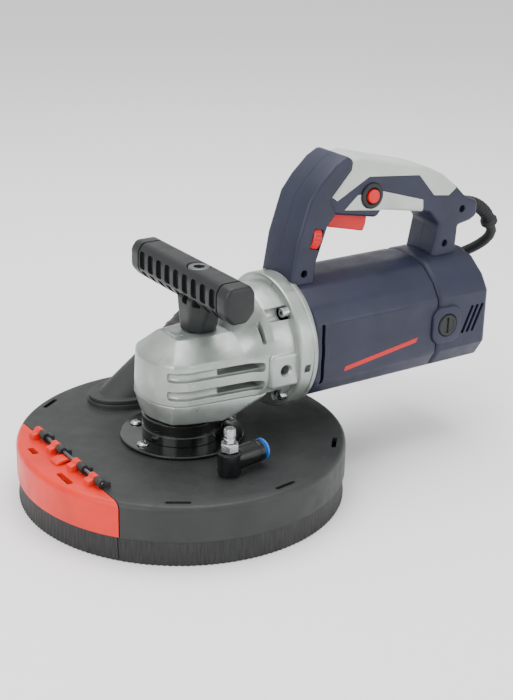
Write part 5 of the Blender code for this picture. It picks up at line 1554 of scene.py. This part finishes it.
@dataclass
class Motor:
    """The motor housing with its rear cover and the two brush caps."""

    top: float = 0.1525
    bottom: float = 0.060
    front: float = 0.0863
    joint: float = 0.2050
    end: float = 0.257
    bore: float = 0.0415
    brush_x: float = 0.2130
    cap_radius: float = 0.0087

    def section(self, inset: float = 0.0) -> list[tuple[float, float]]:
        """The housing's outline seen along X, with flats at its corners."""
        top, bottom, wide = self.top - inset, self.bottom + inset, 0.046 - inset
        half = [
            (0.010, top),
            (0.024, top - 0.0040),
            (0.038, top - 0.0150),
            (wide, top - 0.0270),
            (wide, bottom + 0.0220),
            (0.038, bottom + 0.0090),
            (0.021, bottom),
        ]
        return half + [(-y, z) for y, z in reversed(half)]

    def boss(self, start: float, end: float, grow: float = 0.0) -> Piece:
        """The well rounded square boss round a brush cap."""
        wide, tall, corner = 0.0145 + grow, 0.0150 + grow, 0.0095
        outline = []
        for number in range(40):
            angle = (number + 0.5) * math.tau / 40
            u, v = math.cos(angle), math.sin(angle)
            x = math.copysign(wide - corner, u) + corner * u
            z = math.copysign(tall - corner, v) + corner * v
            outline.append((self.brush_x + x, AXIS_HEIGHT + z))
        low, high = sorted((start, end))
        return Piece.plate(outline, Axis.Y, low, high).bevel(0.0016, 3, 60)

    def housing(self) -> None:
        """The main shell with its crease lines, side vents and front rim."""
        body = Piece.plate(self.section(), Axis.X, self.front, self.joint - GAP).bevel(0.0026, 4, 12)
        start, drum = self.front, 0.0466
        ring = [
            (0.030, start),
            (drum, start),
            (drum, start + 0.0125),
            (drum - 0.0050, start + 0.0185),
            (0.030, start + 0.0185),
        ]
        body.add(Piece.lathe(ring, 120, (0, 0, AXIS_HEIGHT), (0, 90, 0)))
        body.cut(Piece.bar(self.bore, 0.08, 0.22, (0, 0, AXIS_HEIGHT), (0, 90, 0), 96))
        for side in (-1, 1):
            low = (self.front + 0.0062, side * 0.030, AXIS_HEIGHT - 0.026)
            body.cut(
                Piece.block(low, (self.front + 0.0092, side * 0.060, AXIS_HEIGHT + 0.022)).bevel(0.0012, 3)
            )
            body.cut(self.boss(side * 0.030, side * 0.060, GAP))
            for height, reach in ((0.1250, 0.0461), (0.0818, 0.0461)):
                line = Piece.bar(
                    0.0007, self.front + 0.016, self.joint - 0.022, (0, side * reach, height), (0, 90, 0), 12
                )
                body.cut(line)
        body.finish("motor_shell", "frame", NAVY_NYLON, "motor_housing", angle=30)

    def stripe(self) -> None:
        """A plain slanted stripe of red lacquer laid on each side of the housing."""
        for side, name in ((-1, "near"), (1, "far")):
            outline = [(0.1140, 0.0848), (0.1155, 0.0886), (0.1850, 0.0984), (0.1835, 0.0946)]
            low, high = sorted((side * 0.0459, side * 0.04618))
            Piece.plate(outline, Axis.Y, low, high).finish(f"stripe_{name}", "frame", RED_LACQUER)

    def cover(self) -> None:
        """The rear cover with the brush bosses, slanted vents and a seat for the rear bearing."""
        place, turn = (0, 0, AXIS_HEIGHT), (0, 90, 0)
        cover = Piece.plate(self.section(), Axis.X, self.joint, self.end).bevel(0.0050, 5, 50)
        for side in (-1, 1):
            cover.add(self.boss(side * 0.036, side * 0.0485))
        cover.cut(Piece.bar(self.bore, 0.19, self.end - 0.004, place, turn, 96))
        cover.add(
            Piece.lathe(
                [(0, 0.255), (0.0135, 0.255), (0.0135, 0.240), (0.0113, 0.240), (0.0113, 0.251), (0, 0.251)],
                48,
                place,
                turn,
            )
        )
        for side in (-1, 1):
            centre, across = (self.brush_x, 0, AXIS_HEIGHT), (-90 * side, 0, 0)
            cover.cut(
                Piece.lathe(
                    [
                        (0, 0.0440),
                        (self.cap_radius + GAP, 0.0440),
                        (self.cap_radius + GAP, 0.0478),
                        (self.cap_radius + 0.0012, 0.0487),
                        (self.cap_radius + 0.0012, 0.06),
                        (0, 0.06),
                    ],
                    64,
                    centre,
                    across,
                )
            )
            low = (self.brush_x - 0.0077, side * 0.030, AXIS_HEIGHT - 0.0057)
            cover.cut(Piece.block(low, (self.brush_x + 0.0077, side * 0.050, AXIS_HEIGHT + 0.0057)))
            for number in range(3):
                vent = Piece.block((-0.0014, -0.02, -0.0120), (0.0014, 0.02, 0.0120)).bevel(0.0010, 3)
                cover.cut(vent.stand((0.2355 + number * 0.0052, side * 0.045, AXIS_HEIGHT), (0, 24, 0)))
            for height in (0.1475, 0.070):
                screw_way = Piece.bar(
                    0.0030, self.end - 0.006, self.end + 0.01, (0, side * 0.016, height), turn, 32
                )
                cover.cut(screw_way)
        cover.finish("rear_cap", "frame", NAVY_NYLON, "rear_cover", angle=30)

    def caps(self) -> None:
        """The round screw caps over the carbon brushes, each with a slot."""
        for side, name in ((-1, "near"), (1, "far")):
            centre, across = (self.brush_x, 0, AXIS_HEIGHT), (-90 * side, 0, 0)
            radius = self.cap_radius
            profile = [
                (0, 0.0486),
                (radius - 0.0030, 0.0486),
                (radius - 0.0022, 0.0492),
                (radius - 0.0008, 0.0492),
                (radius, 0.0484),
                (radius, 0.0443),
                (0, 0.0443),
            ]
            cap = Piece.lathe(profile, 64, centre, across)
            cap.cut(Piece.block((-0.0010, -0.0062, 0.0474), (0.0010, 0.0062, 0.06), centre, across))
            cap.finish(f"slotted_cap_{name}", "frame", BLACK_NYLON, f"brush_cap_{name}")

    def build(self) -> None:
        """Makes every piece."""
        self.housing()
        self.stripe()
        self.cover()
        self.caps()


@dataclass
class RearHandle:
    """The D-shaped rear handle: two navy halves, light covers, trigger, lock and speed dial."""

    motor: Motor
    half: float = 0.0175
    post_half: float = 0.0200
    skin: float = 0.0022
    trigger_half: float = 0.0090
    lock: tuple[float, float] = (0.155, 0.209)
    lock_collar: float = 0.0098
    lock_button: float = 0.0053
    dial: tuple[float, float] = (0.1035, 0.1830)
    dial_radius: float = 0.0120
    dial_thick: float = 0.0075
    post_lean: float = 15.0
    grip: Outline = (
        (0.1000, 0.2080), (0.1190, 0.2365), (0.1450, 0.2400), (
            0.2100, 0.2240
        ), (0.2260, 0.2165), (0.2400, 0.2060),
        (0.2500, 0.1965), (0.2640, 0.1905), (0.2640, 0.1780), (
            0.2570, 0.1745
        ), (0.2450, 0.1725), (0.2430, 0.1400),
        (0.2175, 0.1400), (0.2245, 0.1760), (0.2140, 0.1870), (
            0.2060, 0.1890
        ), (0.1660, 0.1960), (0.1620, 0.1905),
        (0.1180, 0.1990), (0.1060, 0.2000),
    )
    front: Outline = (
        (0.0790, 0.1400), (0.0862, 0.1820), (0.0965, 0.2130), (
            0.1060, 0.2250
        ), (0.1190, 0.2370), (0.1290, 0.2425),
        (0.1345, 0.2400), (0.1330, 0.2320), (0.1150, 0.2120), (
            0.1220, 0.2000
        ), (0.1140, 0.1910), (0.1040, 0.1630),
        (0.1030, 0.1400),
    )
    top_cover: Outline = (
        (0.1365, 0.2600), (0.1365, 0.2400), (0.1350, 0.2310), (
            0.1180, 0.2125
        ), (0.1230, 0.2090), (0.1520, 0.2240),
        (0.2010, 0.2190), (0.2170, 0.2010), (0.2320, 0.1990), (
            0.2390, 0.2040
        ), (0.2600, 0.2200), (0.2600, 0.2600),
    )
    low_cover: Outline = (
        (0.1300, 0.2010), (0.1420, 0.2110), (0.1660, 0.2110), (
            0.2060, 0.1990
        ), (0.2070, 0.1850), (0.1672, 0.1850),
        (0.1672, 0.1952), (0.1630, 0.1965),
    )
    room: Outline = (
        (0.0900, 0.1640), (0.1000, 0.2080), (0.1180, 0.2280), (0.1440, 0.2340), (0.2080, 0.2185),
        (0.2240, 0.2110), (0.2400, 0.1980), (0.2400, 0.1900), (0.2380, 0.1640), (0.2270, 0.1640),
        (0.2290, 0.1800), (0.2160, 0.1925), (0.1680, 0.2010), (0.1200, 0.2045), (0.1080, 0.1980),
        (0.1000, 0.1640),
    )

    @staticmethod
    def shrunk(outline: Outline, amount: float) -> list[tuple[float, float]]:
        """An outline moved inwards by an amount."""
        count = len(outline)
        area = sum(
            outline[i - 1][0] * outline[i][1] - outline[i][0] * outline[i - 1][1] for i in range(count)
        )
        sign = 1 if area > 0 else -1
        moved = []
        for i in range(count):
            before = (Vector(outline[i]) - Vector(outline[i - 1])).normalized()
            after = (Vector(outline[(i + 1) % count]) - Vector(outline[i])).normalized()
            inward = Vector((-before.y - after.y, before.x + after.x)) * sign
            moved.append(tuple(Vector(outline[i]) + inward * amount / max(0.35, 1 + before.dot(after))))
        return moved

    def body(self) -> Piece:
        """The whole handle as one rounded solid."""
        return Piece.plate(self.grip, Axis.Y, -self.half, self.half).bevel(0.0062, 6, 25)

    def block(self) -> Piece:
        """The front block that the trigger and the dial sit in."""
        return Piece.plate(self.front, Axis.Y, -self.post_half, self.post_half).bevel(0.0052, 6, 25)

    def core(self, grow: float) -> Piece:
        """What lies under the two light covers."""
        wide = self.half - self.skin + grow
        return Piece.plate(self.shrunk(self.grip, self.skin - grow), Axis.Y, -wide, wide)

    def region(self, outline: Outline, grow: float) -> Piece:
        """The space across the handle that a cover takes up."""
        return Piece.plate(self.shrunk(outline, -grow) if grow else outline, Axis.Y, -0.05, 0.05)

    def trigger_way(self, top: float) -> Piece:
        """The slot that the trigger moves in."""
        wide = self.trigger_half + 0.0006
        return Piece.block((0.1190, -wide, 0.17), (0.1600, wide, top))

    def covers(self) -> None:
        """The light top cover and lower piece."""
        lock_x, lock_z = self.lock
        for name, node, outline in (
            ("upper_cover", "top_grip", self.top_cover), ("lower_cover", "lower_grip", self.low_cover)
        ):
            cover = self.body().keep(self.region(outline, 0.0))
            cover.cut(self.core(GAP), self.block())
            if node == "lower_grip":
                cover.cut(
                    Piece.bar(self.lock_collar + GAP, 0.010, 0.03, (lock_x, 0, lock_z), (90, 0, 0)),
                    self.trigger_way(0.2025),
                )
            cover.finish(name, "frame", GREY_TPE, node, angle=35)

    def shells(self) -> None:
        """The two navy halves, split down the middle."""
        lock_x, lock_z = self.lock
        motor = self.motor
        wheel_y = -self.post_half - 0.0018 + self.dial_radius
        for side, name, node in (
            (-1, "left_half", "handle_shell_left"), (1, "right_half", "handle_shell_right")
        ):
            shell = self.body().add(self.block())
            shell.keep(Piece.block((-0.1, side * 0.00015, 0.0), (0.4, side * 0.1, 0.4)))
            for outline in (self.top_cover, self.low_cover):
                recess = self.region(outline, GAP).cut(self.core(0.0), self.block())
                shell.cut(recess)
            shell.cut(Piece.plate(self.room, Axis.Y, -self.half + 0.0048, self.half - 0.0048))
            shell.cut(Piece.bar(0.052 + GAP, 0.06, 0.0862, (0, 0, AXIS_HEIGHT), (0, 90, 0), 144))
            shell.cut(Piece.plate(motor.section(-GAP), Axis.X, 0.0861, motor.end + 0.01))
            shell.cut(self.trigger_way(0.2080))
            shell.cut(Piece.bar(0.0060 + GAP, -0.001, 0.04, (0.2655, 0, 0.1842), (0, -90, 0), 32))
            if side < 0:
                shell.cut(Piece.bar(self.lock_collar + GAP, 0.010, 0.03, (lock_x, 0, lock_z), (90, 0, 0)))
            room = self.dial_thick / 2 + 0.0005
            shell.cut(
                Piece.bar(
                    self.dial_radius + 0.0008,
                    -room,
                    room,
                    (self.dial[0], wheel_y, self.dial[1]),
                    (0, 90 + self.post_lean, 0),
                    64,
                )
            )
            for x, z in ((0.0930, 0.1580), (0.2310, 0.1600), (0.2470, 0.1860)):
                shell.cut(Piece.bar(0.0030, self.half - 0.004, 0.03, (x, 0, z), (-90 * side, 0, 0), 32))
            shell.finish(name, "frame", NAVY_NYLON, node, angle=35)

    def controls(self) -> None:
        """The trigger, its lock and the ribbed speed dial."""
        lock_x, lock_z = self.lock
        place, across = (lock_x, 0, lock_z), (90, 0, 0)
        end = self.half + 0.0022
        collar = [
            (self.lock_button + GAP, 0.0132),
            (self.lock_collar, 0.0132),
            (self.lock_collar, end - 0.0008),
            (0.0090, end),
            (0.0070, end),
            (0.0056, end - 0.0012),
        ]
        Piece.lathe(collar, 64, place, across).finish("lock_boss", "frame", BLACK_NYLON, "lock_collar")
        head = self.half + 0.0040
        button = [
            (0, head - 0.0003),
            (0.0034, head),
            (0.0045, head),
            (self.lock_button, head - 0.0008),
            (self.lock_button, 0.0120),
            (0.0022, 0.0120),
            (0.0022, 0.0060),
            (0, 0.0060),
        ]
        Piece.lathe(button, 48, place, across).finish(
            "lock_pushbutton", "lock_button", RED_NYLON, "lock_button"
        )
        outline = [
            (0.1215, 0.1870),
            (0.1225, 0.2010),
            (0.1245, 0.2020),
            (0.1585, 0.1960),
            (0.1575, 0.1850),
            (0.1552, 0.1790),
        ]
        trigger = Piece.plate(outline, Axis.Y, -self.trigger_half, self.trigger_half).bevel(0.0022, 4, 30)
        trigger.finish("trigger_lever", "trigger", RED_NYLON, "trigger", angle=40)
        wheel_y = -self.post_half - 0.0018 + self.dial_radius
        half, radius = self.dial_thick / 2, self.dial_radius
        profile = [
            (0, half),
            (radius - 0.0010, half),
            (radius, half - 0.0009),
            (radius, -half + 0.0009),
            (radius - 0.0010, -half),
            (0, -half),
        ]
        dial_place, dial_turn = (self.dial[0], wheel_y, self.dial[1]), (0, 90 + self.post_lean, 0)
        wheel = Piece.lathe(profile, 96)
        for number in range(24):
            groove = Piece.bar(
                0.0006, -half - 0.001, half + 0.001, (*polar(radius + 0.0001, number * 15), 0), sides=10
            )
            wheel.cut(groove)
        wheel.stand(dial_place, dial_turn).finish("ribbed_dial", "speed_dial", RED_NYLON, "speed_dial")

    def build(self) -> None:
        """Makes every piece."""
        self.covers()
        self.shells()
        self.controls()


@dataclass
class Internals:
    """The working parts that keep their CAD shape, each in the finish of its real material."""

    finishes: dict[str, AnyFinish] = field(
        default_factory=lambda: {
            "spindle": ZINC_STEEL,
            "spindle_bearing_lower": ZINC_STEEL,
            "spindle_bearing_upper": ZINC_STEEL,
            "ring_gear": BARE_STEEL,
            "pinion": BARE_STEEL,
            "armature_shaft": ZINC_STEEL,
            "armature_core": BARE_STEEL,
            "commutator": COPPER,
            "cooling_fan": BLACK_NYLON,
            "motor_bearing_front": ZINC_STEEL,
            "motor_bearing_rear": ZINC_STEEL,
            "stator_core": BARE_STEEL,
            "stator_coil_top": COPPER,
            "stator_coil_bottom": COPPER,
            "brush_holder_near": BRASS,
            "brush_holder_far": BRASS,
            "carbon_brush_near": CARBON,
            "carbon_brush_far": CARBON,
            "switch_module": BLACK_NYLON,
        }
    )

    def build(self) -> None:
        """Puts each finish in its node's slots."""
        for name, finish in self.finishes.items():
            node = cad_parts[name]
            for held in node.material_slots:
                held.material = finish.make()
            LOG.info("%s: dressed", name)


def main() -> None:
    """Builds the grinder piece by piece."""
    logging.basicConfig(level=logging.INFO, format="%(message)s")
    studio = Studio()
    studio.camera()
    studio.build()
    motor = Motor()
    for assembly in (
        Shroud(),
        WaterFitting(),
        Wheel(),
        GearHead(),
        CrossHandle(),
        motor,
        RearHandle(motor),
        Internals(),
        Cable(),
    ):
        assembly.build()


if __name__ == "__main__":
    main()
